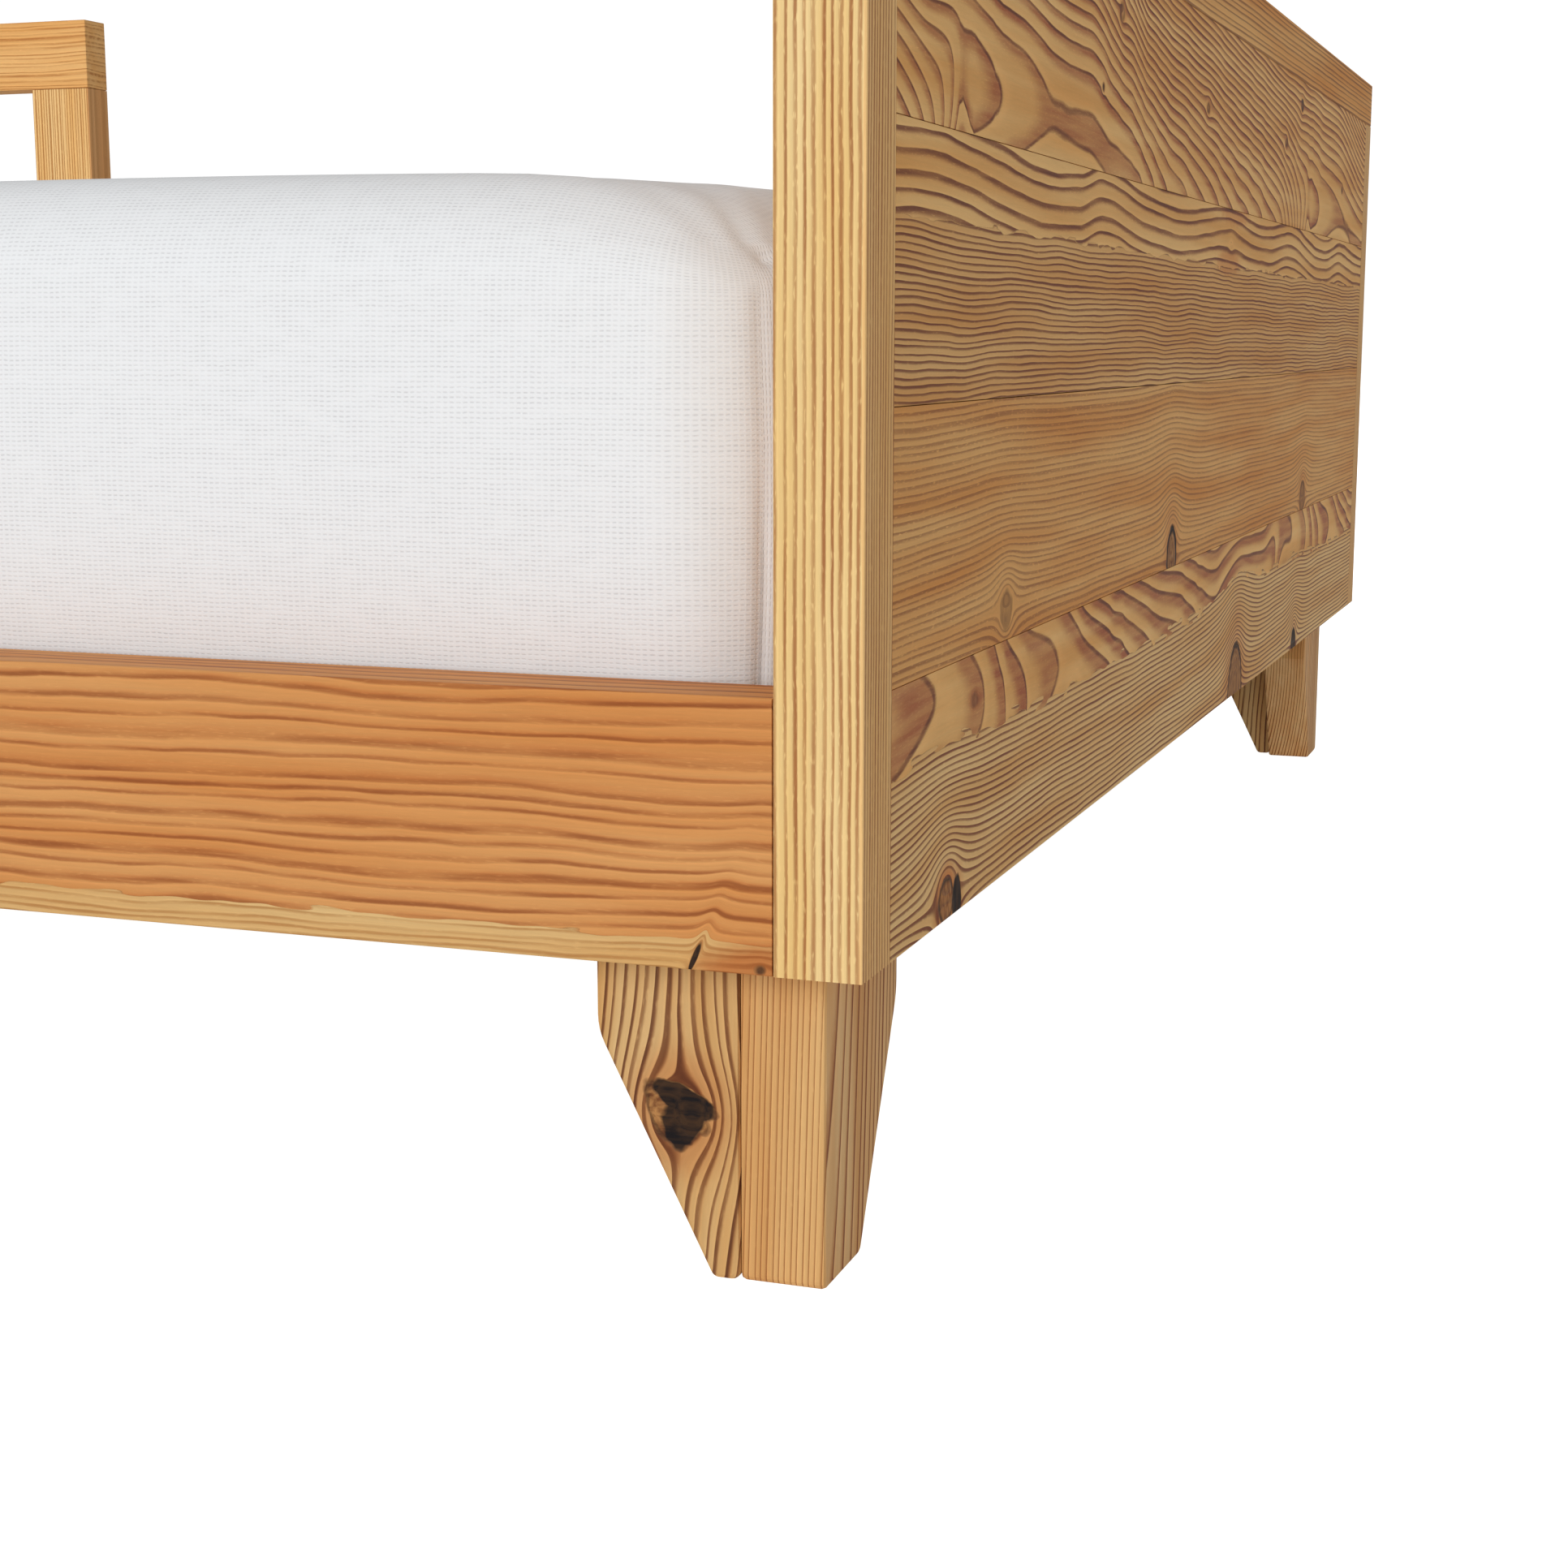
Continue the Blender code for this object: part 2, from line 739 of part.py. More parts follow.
def bolt(name, seat, tip, head_height, point, point_radius):
    """A socket-headed fastener: its head under the seat, its shank from seat to tip."""
    seat = Vector(seat)
    axis = Vector(tip) - seat
    length = axis.length
    outline = [
        (0, -head_height),
        (HEAD_RADIUS - HEAD_EASE, -head_height),
        (HEAD_RADIUS, HEAD_EASE - head_height),
        (HEAD_RADIUS, 0),
        (BOLT_RADIUS, 0),
        (BOLT_RADIUS, length - point),
        (point_radius, length),
        (0, length),
    ]
    turn = Vector((0, 0, 1)).rotation_difference(axis).to_matrix().to_4x4()
    form = spun(outline)
    bmesh.ops.transform(form, matrix=turn, verts=form.verts)
    bmesh.ops.translate(form, vec=seat, verts=form.verts)
    made = smooth(piece(name, form, zinc_steel()))
    socket = bmesh.new()
    bmesh.ops.create_cone(
        socket,
        cap_ends=True,
        segments=HEXAGON,
        radius1=SOCKET_ACROSS / math.sqrt(3),
        radius2=SOCKET_ACROSS / math.sqrt(3),
        depth=SOCKET_DEPTH + OVERRUN,
    )
    bmesh.ops.translate(
        socket,
        vec=(0, 0, (SOCKET_DEPTH - OVERRUN) / 2 - head_height),
        verts=socket.verts,
    )
    bmesh.ops.transform(socket, matrix=turn, verts=socket.verts)
    bmesh.ops.translate(socket, vec=seat, verts=socket.verts)
    cut(made, socket)


def insert(name, base):
    """A threaded sleeve, here with a plain bore, flush with the corner block's underside."""
    bore = BOLT_RADIUS + FIT
    outline = [
        (bore, 0),
        (INSERT_RADIUS, 0),
        (INSERT_RADIUS, INSERT_HEIGHT),
        (bore, INSERT_HEIGHT),
        (bore, 0),
    ]
    form = spun(outline)
    bmesh.ops.translate(form, vec=base, verts=form.verts)
    smooth(piece(name, form, zinc_steel()))


def soft_ring(form, inset, height):
    """One level loop of the mattress or sheet: a rectangle with round corners and drawn-in sides."""
    outer_x = MATTRESS_LENGTH / 2 + SHEET + SHEET_ROOM - inset
    outer_y = MATTRESS_WIDTH / 2 + SHEET + SHEET_ROOM - inset
    centre_x = outer_x - SOFT_CORNER
    centre_y = outer_y - SOFT_CORNER
    ring = []
    for quarter, (way_x, way_y) in enumerate(((1, 1), (-1, 1), (-1, -1), (1, -1))):
        for step in range(SOFT_CORNER_STEPS + 1):
            angle = math.pi / 2 * (quarter + step / SOFT_CORNER_STEPS)
            ring.append(
                (
                    way_x * centre_x + SOFT_CORNER * math.cos(angle),
                    way_y * centre_y + SOFT_CORNER * math.sin(angle),
                )
            )
        along_x = quarter % 2 == 0
        steps = LONG_SIDE_STEPS if along_x else SHORT_SIDE_STEPS
        for step in range(1, steps):
            share = step / steps
            draw = SIDE_DRAW * 4 * share * (1 - share)
            if along_x:
                ring.append((way_x * centre_x * (1 - 2 * share), way_y * (outer_y - draw)))
            else:
                ring.append((way_x * (outer_x - draw), way_y * centre_y * (1 - 2 * share)))
    return [form.verts.new((x, y, height)) for x, y in ring]


def soft_profile(inward):
    """(inset, height) from the bottom edge round the side and over the crown, set in by inward."""
    top = BED_BASE + BED_HEIGHT
    profile = []
    for step in range(SOFT_EDGE_STEPS + 1):
        angle = math.pi / 2 * step / SOFT_EDGE_STEPS
        radius = SOFT_BOTTOM_EDGE - inward
        profile.append(
            (
                BELLY + SOFT_BOTTOM_EDGE - radius * math.sin(angle),
                BED_BASE + SOFT_BOTTOM_EDGE - radius * math.cos(angle),
            )
        )
    low = BED_BASE + SOFT_BOTTOM_EDGE
    high = top - SOFT_TOP_EDGE
    for share in SIDE_BAND_SHARES:
        swell = BELLY * math.sin(math.pi * share)
        profile.append((BELLY + inward - swell, low + (high - low) * share))
    for step in range(SOFT_EDGE_STEPS + 1):
        angle = math.pi / 2 * step / SOFT_EDGE_STEPS
        radius = SOFT_TOP_EDGE - inward
        profile.append(
            (
                BELLY + SOFT_TOP_EDGE - radius * math.cos(angle),
                high + radius * math.sin(angle),
            )
        )
    edge = BELLY + SOFT_TOP_EDGE
    reach = MATTRESS_WIDTH / 2 - SOFT_CORNER - RIDGE - edge
    for share in CROWN_SHARES:
        rise = CROWN * (1 - (1 - share) ** 2)
        profile.append((edge + reach * share, top - inward + rise))
    return profile


def skin(form, rings):
    """Join each loop to the next with quads."""
    for lower, upper in zip(rings, rings[1:]):
        count = len(lower)
        for index in range(count):
            following = (index + 1) % count
            form.faces.new((lower[index], lower[following], upper[following], upper[index]))


def mattress():
    form = bmesh.new()
    rings = [soft_ring(form, inset, z) for inset, z in soft_profile(SHEET + SHEET_ROOM)]
    skin(form, rings)
    form.faces.new(rings[0][::-1])
    form.faces.new(rings[-1])
    smooth(piece("mattress", form, mattress_cloth()), SOFT_ANGLE)


def fitted_sheet():
    """The sheet over the mattress, tucked under it and open inside its hem."""
    form = bmesh.new()
    outside = [(HEM_REACH, BED_BASE)] + soft_profile(0)
    inside = [(HEM_REACH, BED_BASE + SHEET)] + soft_profile(SHEET)
    outer_rings = [soft_ring(form, inset, z) for inset, z in outside]
    inner_rings = [soft_ring(form, inset, z) for inset, z in inside]
    skin(form, outer_rings)
    skin(form, inner_rings)
    skin(form, [outer_rings[0], inner_rings[0]])
    form.faces.new(outer_rings[-1])
    form.faces.new(inner_rings[-1][::-1])
    smooth(piece("fitted_sheet", form, sheet_cloth()), SOFT_ANGLE)


def main():
    clear_scene()
    for end, end_name in ((HEAD, "head"), (FOOT, "foot")):
        end_panel(end, end_name)
        for side, side_name in ((FRONT, "front"), (BACK, "back")):
            name = f"{end_name}_{side_name}"
            leg(end, side, name)
            corner_block(end, side, name)
    side_rail("front_rail", FRONT)
    back_rail = side_rail("back_rail", BACK)
    mortises = [
        guard_mortise(*place, RAIL_TOP, -(GUARD_TENON + RELIEF))
        for place in guard_post_places().values()
    ]
    cut(back_rail, join(mortises))
    guard()
    cleat("front_cleat", FRONT)
    cleat("back_cleat", BACK)
    slats()
    mattress()
    fitted_sheet()


main()
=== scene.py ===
"""Toddler floor bed: the finished look of the frame, the mattress and its fitted sheet.

The boards keep the shapes of the CAD nodes. Each gets pine of its own, as if sawn from its
own place in a log, so the rings run through from face to edge to end grain.
"""
import math

import bmesh
import bpy
from bpy.props import FloatProperty, FloatVectorProperty, IntProperty, PointerProperty
from mathutils import Matrix, Vector, noise


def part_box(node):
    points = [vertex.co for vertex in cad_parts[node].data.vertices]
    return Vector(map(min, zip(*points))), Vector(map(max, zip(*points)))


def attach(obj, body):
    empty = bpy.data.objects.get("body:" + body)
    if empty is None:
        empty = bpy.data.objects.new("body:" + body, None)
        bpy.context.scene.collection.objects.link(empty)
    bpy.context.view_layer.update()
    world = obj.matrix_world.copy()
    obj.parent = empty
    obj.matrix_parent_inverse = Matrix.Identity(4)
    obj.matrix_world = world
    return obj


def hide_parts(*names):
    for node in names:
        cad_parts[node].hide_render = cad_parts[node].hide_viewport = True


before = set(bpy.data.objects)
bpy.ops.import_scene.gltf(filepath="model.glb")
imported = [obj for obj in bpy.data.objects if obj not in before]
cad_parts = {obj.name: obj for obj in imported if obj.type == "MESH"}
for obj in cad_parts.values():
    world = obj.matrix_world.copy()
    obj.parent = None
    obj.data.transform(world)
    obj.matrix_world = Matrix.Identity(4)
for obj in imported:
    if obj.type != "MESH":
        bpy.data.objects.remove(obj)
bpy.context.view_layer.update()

bl_info = {
    "name": "Toddler floor bed",
    "version": (1, 0, 0),
    "blender": (4, 5, 0),
    "location": "3D View > Sidebar > Floor Bed",
    "description": "Pine, steel and cloth for the floor bed, with its mattress and fitted sheet",
    "category": "Object",
}

MM = 0.001
PER_METRE = 1000.0
TO_MM = (PER_METRE, PER_METRE, PER_METRE)
WHITE = (1.0, 1.0, 1.0)

# Places and sizes taken from the frame
SHEET_LOW, SHEET_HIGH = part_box("fitted_sheet")
FOOT_LOW, FOOT_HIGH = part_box("foot_front_post")
PANEL_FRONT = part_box("foot_low_plank")[0].y * PER_METRE
FOOT_FACE = FOOT_HIGH.x * PER_METRE
HEAD_FACE = -FOOT_FACE
FRONT_FACE = FOOT_LOW.y * PER_METRE
BACK_FACE = -FRONT_FACE


def linear(code):
    """An sRGB hex colour as linear red, green and blue."""
    shares = [int(code[place : place + 2], 16) / 255 for place in (1, 3, 5)]
    return tuple(s / 12.92 if s <= 0.04045 else ((s + 0.055) / 1.055) ** 2.4 for s in shares)


def opaque(code):
    """An sRGB hex colour as the four values that a node takes."""
    return (*linear(code), 1.0)


def add(tree, kind, inputs=(), **settings):
    """Add a node, give it its settings, and set or link its inputs, by name or in their order."""
    made = tree.nodes.new(kind)
    for name, value in settings.items():
        setattr(made, name, value)
    set_inputs(tree, made, inputs if isinstance(inputs, dict) else dict(enumerate(inputs)))
    return made


def set_inputs(tree, made, inputs):
    """Set a node's inputs, a hex code as its colour, or link them to a socket or a node."""
    for name, value in inputs.items():
        socket = made.inputs[name]
        if isinstance(value, bpy.types.Node):
            value = value.outputs[0]
        if isinstance(value, bpy.types.NodeSocket):
            tree.links.new(value, socket)
        else:
            socket.default_value = opaque(value) if isinstance(value, str) else value


MATH = "ShaderNodeMath"
VECTOR = "ShaderNodeVectorMath"
NOISE = "ShaderNodeTexNoise"
RANGE = "ShaderNodeMapRange"
MIX = "ShaderNodeMix"
SPLIT = "ShaderNodeSeparateXYZ"
JOIN = "ShaderNodeCombineXYZ"
MAPPING = "ShaderNodeMapping"
BUMP = "ShaderNodeBump"
WHERE = "ShaderNodeTexCoord"
SURFACE = "ShaderNodeBsdfPrincipled"
OUTPUT = "ShaderNodeOutputMaterial"
# What a group's socket holds when its value is a number, a place or a hex code
SOCKETS = {float: "NodeSocketFloat", tuple: "NodeSocketVector", str: "NodeSocketColor"}
# A knot's marks on the wood
MARKS = ("Core", "Rim", "Halo")
# The middle of a noise's range, and a range that goes both ways
MIDDLE_HALF = {"From Min": 0.25, "From Max": 0.75}
BOTH_WAYS = {"To Min": -1.0, "To Max": 1.0}
ORIGIN = (0.0, 0.0, 0.0)


def group(name, inputs, outputs):
    """A node group with its sockets and their values, and its two ends."""
    tree = bpy.data.node_groups.new(name, "ShaderNodeTree")
    for way, sockets in (("INPUT", inputs), ("OUTPUT", outputs)):
        for label, value in sockets.items():
            made = tree.interface.new_socket(label, in_out=way, socket_type=SOCKETS[type(value)])
            made.default_value = opaque(value) if isinstance(value, str) else value
    return tree, add(tree, "NodeGroupInput").outputs, add(tree, "NodeGroupOutput")


def new_material(name):
    """A material with no nodes yet, and its tree."""
    material = bpy.data.materials.new(name)
    material.use_nodes = True
    material.node_tree.nodes.clear()
    return material, material.node_tree


def new_piece(context, name, form, material):
    """Turn a finished bmesh into an object of the scene, with its one material."""
    shape = bpy.data.meshes.new(name)
    form.to_mesh(shape)
    form.free()
    shape.materials.append(material)
    made = bpy.data.objects.new(name, shape)
    context.scene.collection.objects.link(made)
    return made


def set_stops(ramp, interpolation, stops):
    """Give a colour ramp its stops, each a place with red, green and blue."""
    ramp.interpolation = interpolation
    while len(ramp.elements) < len(stops):
        ramp.elements.new(0.5)
    for element, (place, colour) in zip(ramp.elements, stops):
        element.position = place
        element.color = (*colour, 1.0)


# Radii of the mattress's upright corners and of its top and bottom edges, and its sides' belly
CORNER = 0.030
TOP_EDGE = 0.026
BOTTOM_EDGE = 0.014
BELLY = 0.0020
EIGHTH = math.pi / 4
OUTER = Vector((SHEET_HIGH.x, SHEET_HIGH.y))
# The soft pieces are laid out as a box of cloth first, and then settled to shape. These are the
# cloth that goes round a corner, and half the box's lid, whose corners run down into the seams
CORNER_BAND = CORNER - BELLY - TOP_EDGE + TOP_EDGE * EIGHTH
SEAM = Vector((OUTER.x - CORNER + CORNER_BAND, OUTER.y - CORNER + CORNER_BAND))


def knot_group():
    """A branch through the board: the rings flow round it, and it darkens where it comes out."""
    tree, given, result = group(
        "knot",
        {
            "Place": ORIGIN, "Core": 0.0, "Rim": 0.0, "Halo": 0.0, "Centre": ORIGIN, "Size": 4.0,
            "Length": 1.2, "Lean": 0.0, "Flow": 6.0, "Bark": 1.2, "Dark": 0.8, "Filled": 0.3,
            "Red": 0.35, "Ragged": 0.6,
        },
        {"Place": ORIGIN, "Core": 0.0, "Rim": 0.0, "Halo": 0.0},
    )
    away = add(tree, VECTOR, [given["Place"], given["Centre"]], operation="SUBTRACT")
    slant = add(tree, JOIN, [1.0, given["Lean"]])
    slant = add(tree, VECTOR, [away, slant], operation="DOT_PRODUCT").outputs["Value"]
    slant = add(tree, MATH, [slant, given["Length"]], operation="DIVIDE")
    width = add(tree, SPLIT, [away]).outputs["Y"]
    round_it = add(tree, JOIN, [slant, width])
    far = add(tree, VECTOR, [round_it], operation="LENGTH").outputs["Value"]
    # A ragged outline, soft over 0.9 mm
    rough = add(tree, NOISE, {"Vector": given["Place"], "Scale": 0.24, "Detail": 2.0})
    rough = add(tree, RANGE, {"Value": rough, **MIDDLE_HALF, **BOTH_WAYS})
    rough = add(tree, MATH, [rough, given["Ragged"]], operation="MULTIPLY")
    rough = add(tree, MATH, [rough, given["Size"]], operation="DIVIDE")
    edge = add(tree, MATH, [far, given["Size"]], operation="DIVIDE")
    edge = add(tree, MATH, [edge, rough], operation="ADD")
    soft = add(tree, MATH, [0.45, given["Size"]], operation="DIVIDE")
    bark = add(tree, MATH, [given["Bark"], given["Size"]], operation="DIVIDE")
    inner = add(tree, MATH, [1.0, bark], operation="SUBTRACT")
    discs = []
    for limit in (1.0, inner):
        least = add(tree, MATH, [limit, soft], operation="SUBTRACT")
        most = add(tree, MATH, [limit, soft], operation="ADD")
        discs.append(add(tree, RANGE, {"Value": edge, "From Min": most, "From Max": least}))
    core, inside = discs
    hollow = add(tree, MATH, [1.0, given["Filled"]], operation="SUBTRACT")
    inside = add(tree, MATH, [inside, hollow], operation="MULTIPLY")
    rim = add(tree, MATH, [core, inside], operation="SUBTRACT", use_clamp=True)
    rim = add(tree, MATH, [rim, given["Dark"]], operation="MULTIPLY")
    core = add(tree, MATH, [core, given["Dark"]], operation="MULTIPLY")
    halo = add(
        tree, RANGE, {"Value": edge, "From Min": 2.1, "From Max": 0.9}, interpolation_type="SMOOTHSTEP"
    )
    halo = add(tree, MATH, [halo, given["Red"]], operation="MULTIPLY")
    # The rings part round it as a stream does round a stone
    flow = add(tree, MATH, [given["Flow"], 2.0], operation="POWER")
    square = add(tree, MATH, [far, 2.0], operation="POWER")
    under = add(tree, MATH, [flow, 0.55, square], operation="MULTIPLY_ADD")
    share = add(tree, MATH, [flow, under], operation="DIVIDE")
    aside = add(tree, VECTOR, [away, (0, 1, 0)], operation="MULTIPLY")
    aside = add(tree, VECTOR, {0: aside, "Scale": share}, operation="SCALE")
    moved = add(tree, VECTOR, [given["Place"], aside], operation="SUBTRACT")
    tree.links.new(moved.outputs[0], result.inputs["Place"])
    for label, value in zip(MARKS, (core, rim, halo)):
        most = add(tree, MATH, [given[label], value], operation="MAXIMUM")
        tree.links.new(most.outputs[0], result.inputs[label])
    return tree


def pine_group():
    """Planed and oiled pine: rings round a pith line that wanders beside or behind the board."""
    tree, given, result = group(
        "sawn pine",
        {
            "Place": ORIGIN, "Core": 0.0, "Rim": 0.0, "Halo": 0.0, "Path": ORIGIN,
            "Early": "#DABC89", "Late": "#BC8959", "Edge": "#956C4B",
            "Tint": "#F3E7D9", "Contrast": 1.0, "Edge width": 0.55, "Band start": 0.34,
            "Flat start": 0.5, "Fall width": 0.04, "Broken": 0.35, "Ring width": 2.5, "Taper": 0.0,
            "Uneven": 0.8, "Wave": 1.5, "Zone edge": -1000.0, "Zone grain": 1.0,
            "Zone ring width": 2.0, "Zone early": "#DABC89", "Zone late": "#956C4B",
            "Zone contrast": 1.0, "Torn": 1.0, "Fleck": 0.5,
        },
        {"Color": "#DABC89", "Height": 0.0, "Roughness": 0.5},
    )
    place = given["Place"]
    # Fibres, 14 mm long and 0.6 mm thick
    fibre = add(tree, VECTOR, [place, (1 / 14, 1.7, 1.7)], operation="MULTIPLY")
    fibre = add(tree, NOISE, {"Vector": fibre, "Scale": 1.0, "Detail": 3.0, "Roughness": 0.7})
    fibre = add(tree, RANGE, {"Value": fibre, "From Min": 0.3, "From Max": 0.7, **BOTH_WAYS})
    # Waves along the trunk, 75 mm long, with smaller ones on them
    wave = add(tree, VECTOR, [place, (1 / 75, 1 / 26, 1 / 26)], operation="MULTIPLY")
    wave = add(tree, NOISE, {"Vector": wave, "Scale": 1.0, "Detail": 3.5, "Roughness": 0.46})
    wave = add(tree, VECTOR, [wave.outputs["Color"], (0.5, 0.5, 0.5)], operation="SUBTRACT")
    amount = add(tree, MATH, [given["Wave"], 4.0], operation="MULTIPLY")
    wave = add(tree, VECTOR, {0: wave, "Scale": amount}, operation="SCALE")
    wave = add(tree, VECTOR, [wave, (1, 1, 0.25)], operation="MULTIPLY")
    bent = add(tree, VECTOR, [place, wave], operation="ADD")
    path = add(tree, SPLIT, [given["Path"]]).outputs
    pith = add(tree, JOIN, [0.0, path["Y"], path["Z"]])
    across = add(tree, VECTOR, [bent, (0, 1, 1)], operation="MULTIPLY")
    across = add(tree, VECTOR, [across, pith], operation="SUBTRACT")
    radius = add(tree, VECTOR, [across], operation="LENGTH").outputs["Value"]
    deep = add(tree, MATH, [path["Z"]], operation="ABSOLUTE")
    rings = add(tree, MATH, [radius, deep], operation="SUBTRACT")
    rings = add(tree, MATH, [rings, given["Ring width"]], operation="DIVIDE")
    rings = add(tree, MATH, [rings, path["X"]], operation="ADD")
    straight = add(tree, SPLIT, [place]).outputs
    rings = add(tree, MATH, [straight["X"], given["Taper"], rings], operation="MULTIPLY_ADD")
    # Past the zone's edge the tree grew slowly, in fine even rings
    parts = add(tree, SPLIT, [bent]).outputs
    torn = add(tree, VECTOR, [place, (1 / 15, 1 / 2.6, 0)], operation="MULTIPLY")
    torn = add(tree, NOISE, {"Vector": torn, "Scale": 1.0, "Detail": 1.0})
    torn = add(tree, RANGE, {"Value": torn, **MIDDLE_HALF, **BOTH_WAYS})
    below = add(tree, MATH, [given["Zone edge"], straight["Y"]], operation="SUBTRACT")
    below = add(tree, MATH, [torn, given["Torn"], below], operation="MULTIPLY_ADD")
    zone = add(tree, RANGE, {"Value": below, "From Max": 0.12})
    slow = add(tree, MATH, [parts["Y"], given["Zone ring width"]], operation="DIVIDE")
    fine = add(tree, MATH, [zone, given["Zone grain"]], operation="MULTIPLY")
    rings = add(tree, MIX, {"Factor": fine, "A": rings, "B": slow}).outputs["Result"]
    # No two years are alike
    years = add(tree, NOISE, {"W": rings, "Scale": 0.62, "Detail": 1.0}, noise_dimensions="1D")
    rings = add(tree, MATH, [years, given["Uneven"], rings], operation="MULTIPLY_ADD")
    part = add(tree, MATH, [rings], operation="FRACT")
    year = add(tree, MATH, [rings], operation="FLOOR")
    depth = add(tree, "ShaderNodeTexWhiteNoise", {"W": year}, noise_dimensions="1D")
    depth = add(tree, RANGE, {"Value": depth, "To Min": 0.72, "To Max": 1.0})
    # How steeply the board's face cuts the ring: almost flat cuts have late, thin bands
    level = add(tree, SPLIT, [across]).outputs["Y"]
    level = add(tree, MATH, [level, radius], operation="DIVIDE")
    level = add(tree, MATH, [level], operation="ABSOLUTE")
    steep = add(tree, RANGE, {"Value": level, "From Min": 0.08, "From Max": 0.5, "To Min": 0.3})
    # Earlywood reddens slowly into latewood, and the year ends in a thin dark edge
    ends = {"To Min": given["Flat start"], "To Max": given["Band start"]}
    first = add(tree, RANGE, {"Value": steep, **ends})
    first = add(tree, MIX, {"Factor": fine, "A": first, "B": 0.46}).outputs["Result"]
    full = add(tree, MATH, [first, 0.4], operation="ADD")
    base = add(tree, MATH, [1.0, given["Fall width"]], operation="SUBTRACT")
    fall = add(tree, RANGE, {"Value": part, "From Min": 1.0, "From Max": base})
    band = add(
        tree, RANGE, {"Value": part, "From Min": first, "From Max": full}, interpolation_type="SMOOTHSTEP"
    )
    band = add(tree, MATH, [band, fall], operation="MULTIPLY")
    share = add(tree, MATH, [level, given["Ring width"]], operation="DIVIDE")
    share = add(tree, MATH, [share, given["Edge width"], 0.015], operation="MULTIPLY_ADD")
    share = add(tree, MATH, [share, 0.34], operation="MINIMUM")
    share = add(tree, MIX, {"Factor": fine, "A": share, "B": 0.3}).outputs["Result"]
    first = add(tree, MATH, [share, -1.5, base], operation="MULTIPLY_ADD")
    full = add(tree, MATH, [share, -0.5, base], operation="MULTIPLY_ADD")
    edge = add(
        tree, RANGE, {"Value": part, "From Min": first, "From Max": full}, interpolation_type="SMOOTHSTEP"
    )
    edge = add(tree, MATH, [edge, fall], operation="MULTIPLY")
    # New earlywood is pale, and a painted highlight runs just past each year's dark edge, where the raised
    # latewood's rim would catch the light
    glow = add(tree, "ShaderNodeValToRGB", [part])
    greys = ((0.0, 0.6), (0.05, 1.0), (0.18, 0.3), (0.4, 0.0))
    set_stops(glow.color_ramp, "LINEAR", [(spot, (grey, grey, grey)) for spot, grey in greys])
    # The zone's lines are fainter close to its edge
    weak = add(tree, RANGE, {"Value": below, "From Max": 15.0, "To Min": given["Zone contrast"]})
    weak = add(tree, MIX, {"Factor": zone, "A": 1.0, "B": weak}).outputs["Result"]
    contrast = add(tree, MATH, [given["Contrast"], weak], operation="MULTIPLY")
    strength = add(tree, MATH, [depth, contrast], operation="MULTIPLY")
    # The lines thin and thicken every 40 mm or so
    broken = add(tree, VECTOR, [place, (1 / 38, 1 / 2.4, 1 / 2.4)], operation="MULTIPLY")
    broken = add(tree, NOISE, {"Vector": broken, "Scale": 1.0, "Detail": 2.0})
    broken = add(tree, RANGE, {"Value": broken, "From Min": 0.62, "From Max": 0.38})
    whole = add(tree, MATH, [broken, given["Broken"]], operation="MULTIPLY")
    whole = add(tree, MATH, [1.0, whole], operation="SUBTRACT")
    strength = add(tree, MATH, [strength, whole], operation="MULTIPLY")
    # Bright flecks, 2.4 mm long
    fleck = add(tree, VECTOR, [place, (1 / 2.4, 2.6, 2.6)], operation="MULTIPLY")
    fleck = add(tree, NOISE, {"Vector": fleck, "Scale": 1.0, "Detail": 1.0})
    fleck = add(tree, RANGE, {"Value": fleck, "From Min": 0.56, "From Max": 0.8})
    fleck = add(tree, MATH, [fleck, given["Fleck"]], operation="MULTIPLY")
    late = add(tree, MATH, [band, strength], operation="MULTIPLY")
    late = add(tree, MATH, [fibre, 0.08, late], operation="MULTIPLY_ADD", use_clamp=True)
    late = add(tree, MATH, [fleck, -0.5, late], operation="MULTIPLY_ADD", use_clamp=True)
    edge = add(tree, MATH, [edge, strength], operation="MULTIPLY")
    edge = add(tree, MATH, [fleck, -0.4, edge], operation="MULTIPLY_ADD", use_clamp=True)
    tones = {}
    for label, other in (("Early", "Zone early"), ("Late", "Zone late"), ("Edge", "Zone late")):
        inputs = {"Factor": zone, "A": given[label], "B": given[other]}
        tones[label] = add(tree, MIX, inputs, data_type="RGBA").outputs["Result"]
    inputs = {"Factor": late, "A": tones["Early"], "B": tones["Late"]}
    colour = add(tree, MIX, inputs, data_type="RGBA").outputs["Result"]
    inputs = {"Factor": edge, "A": colour, "B": tones["Edge"]}
    colour = add(tree, MIX, inputs, data_type="RGBA").outputs["Result"]
    # Slow change of tone, in streaks 170 mm long and 9 mm wide
    tone = add(tree, VECTOR, [place, (1 / 170, 1 / 9, 1 / 9)], operation="MULTIPLY")
    tone = add(tree, NOISE, {"Vector": tone, "Scale": 1.0, "Detail": 3.0})
    tone = add(tree, RANGE, {"Value": tone, "From Min": 0.35, "From Max": 0.68})
    inputs = {"Factor": 1.0, "A": colour, "B": given["Tint"]}
    tinted = add(tree, MIX, inputs, data_type="RGBA", blend_type="MULTIPLY").outputs["Result"]
    inputs = {"Factor": tone, "A": colour, "B": tinted}
    colour = add(tree, MIX, inputs, data_type="RGBA").outputs["Result"]
    # The painted highlight lightens the colour, with the bright flecks and the fibres
    light = add(tree, MATH, [glow, contrast], operation="MULTIPLY")
    light = add(tree, MATH, [fleck, 0.5, light], operation="MULTIPLY_ADD")
    light = add(tree, MATH, [light, 0.11, 1.0], operation="MULTIPLY_ADD")
    light = add(tree, MATH, [fibre, 0.055, light], operation="MULTIPLY_ADD")
    colour = add(tree, VECTOR, {0: colour, "Scale": light}, operation="SCALE")
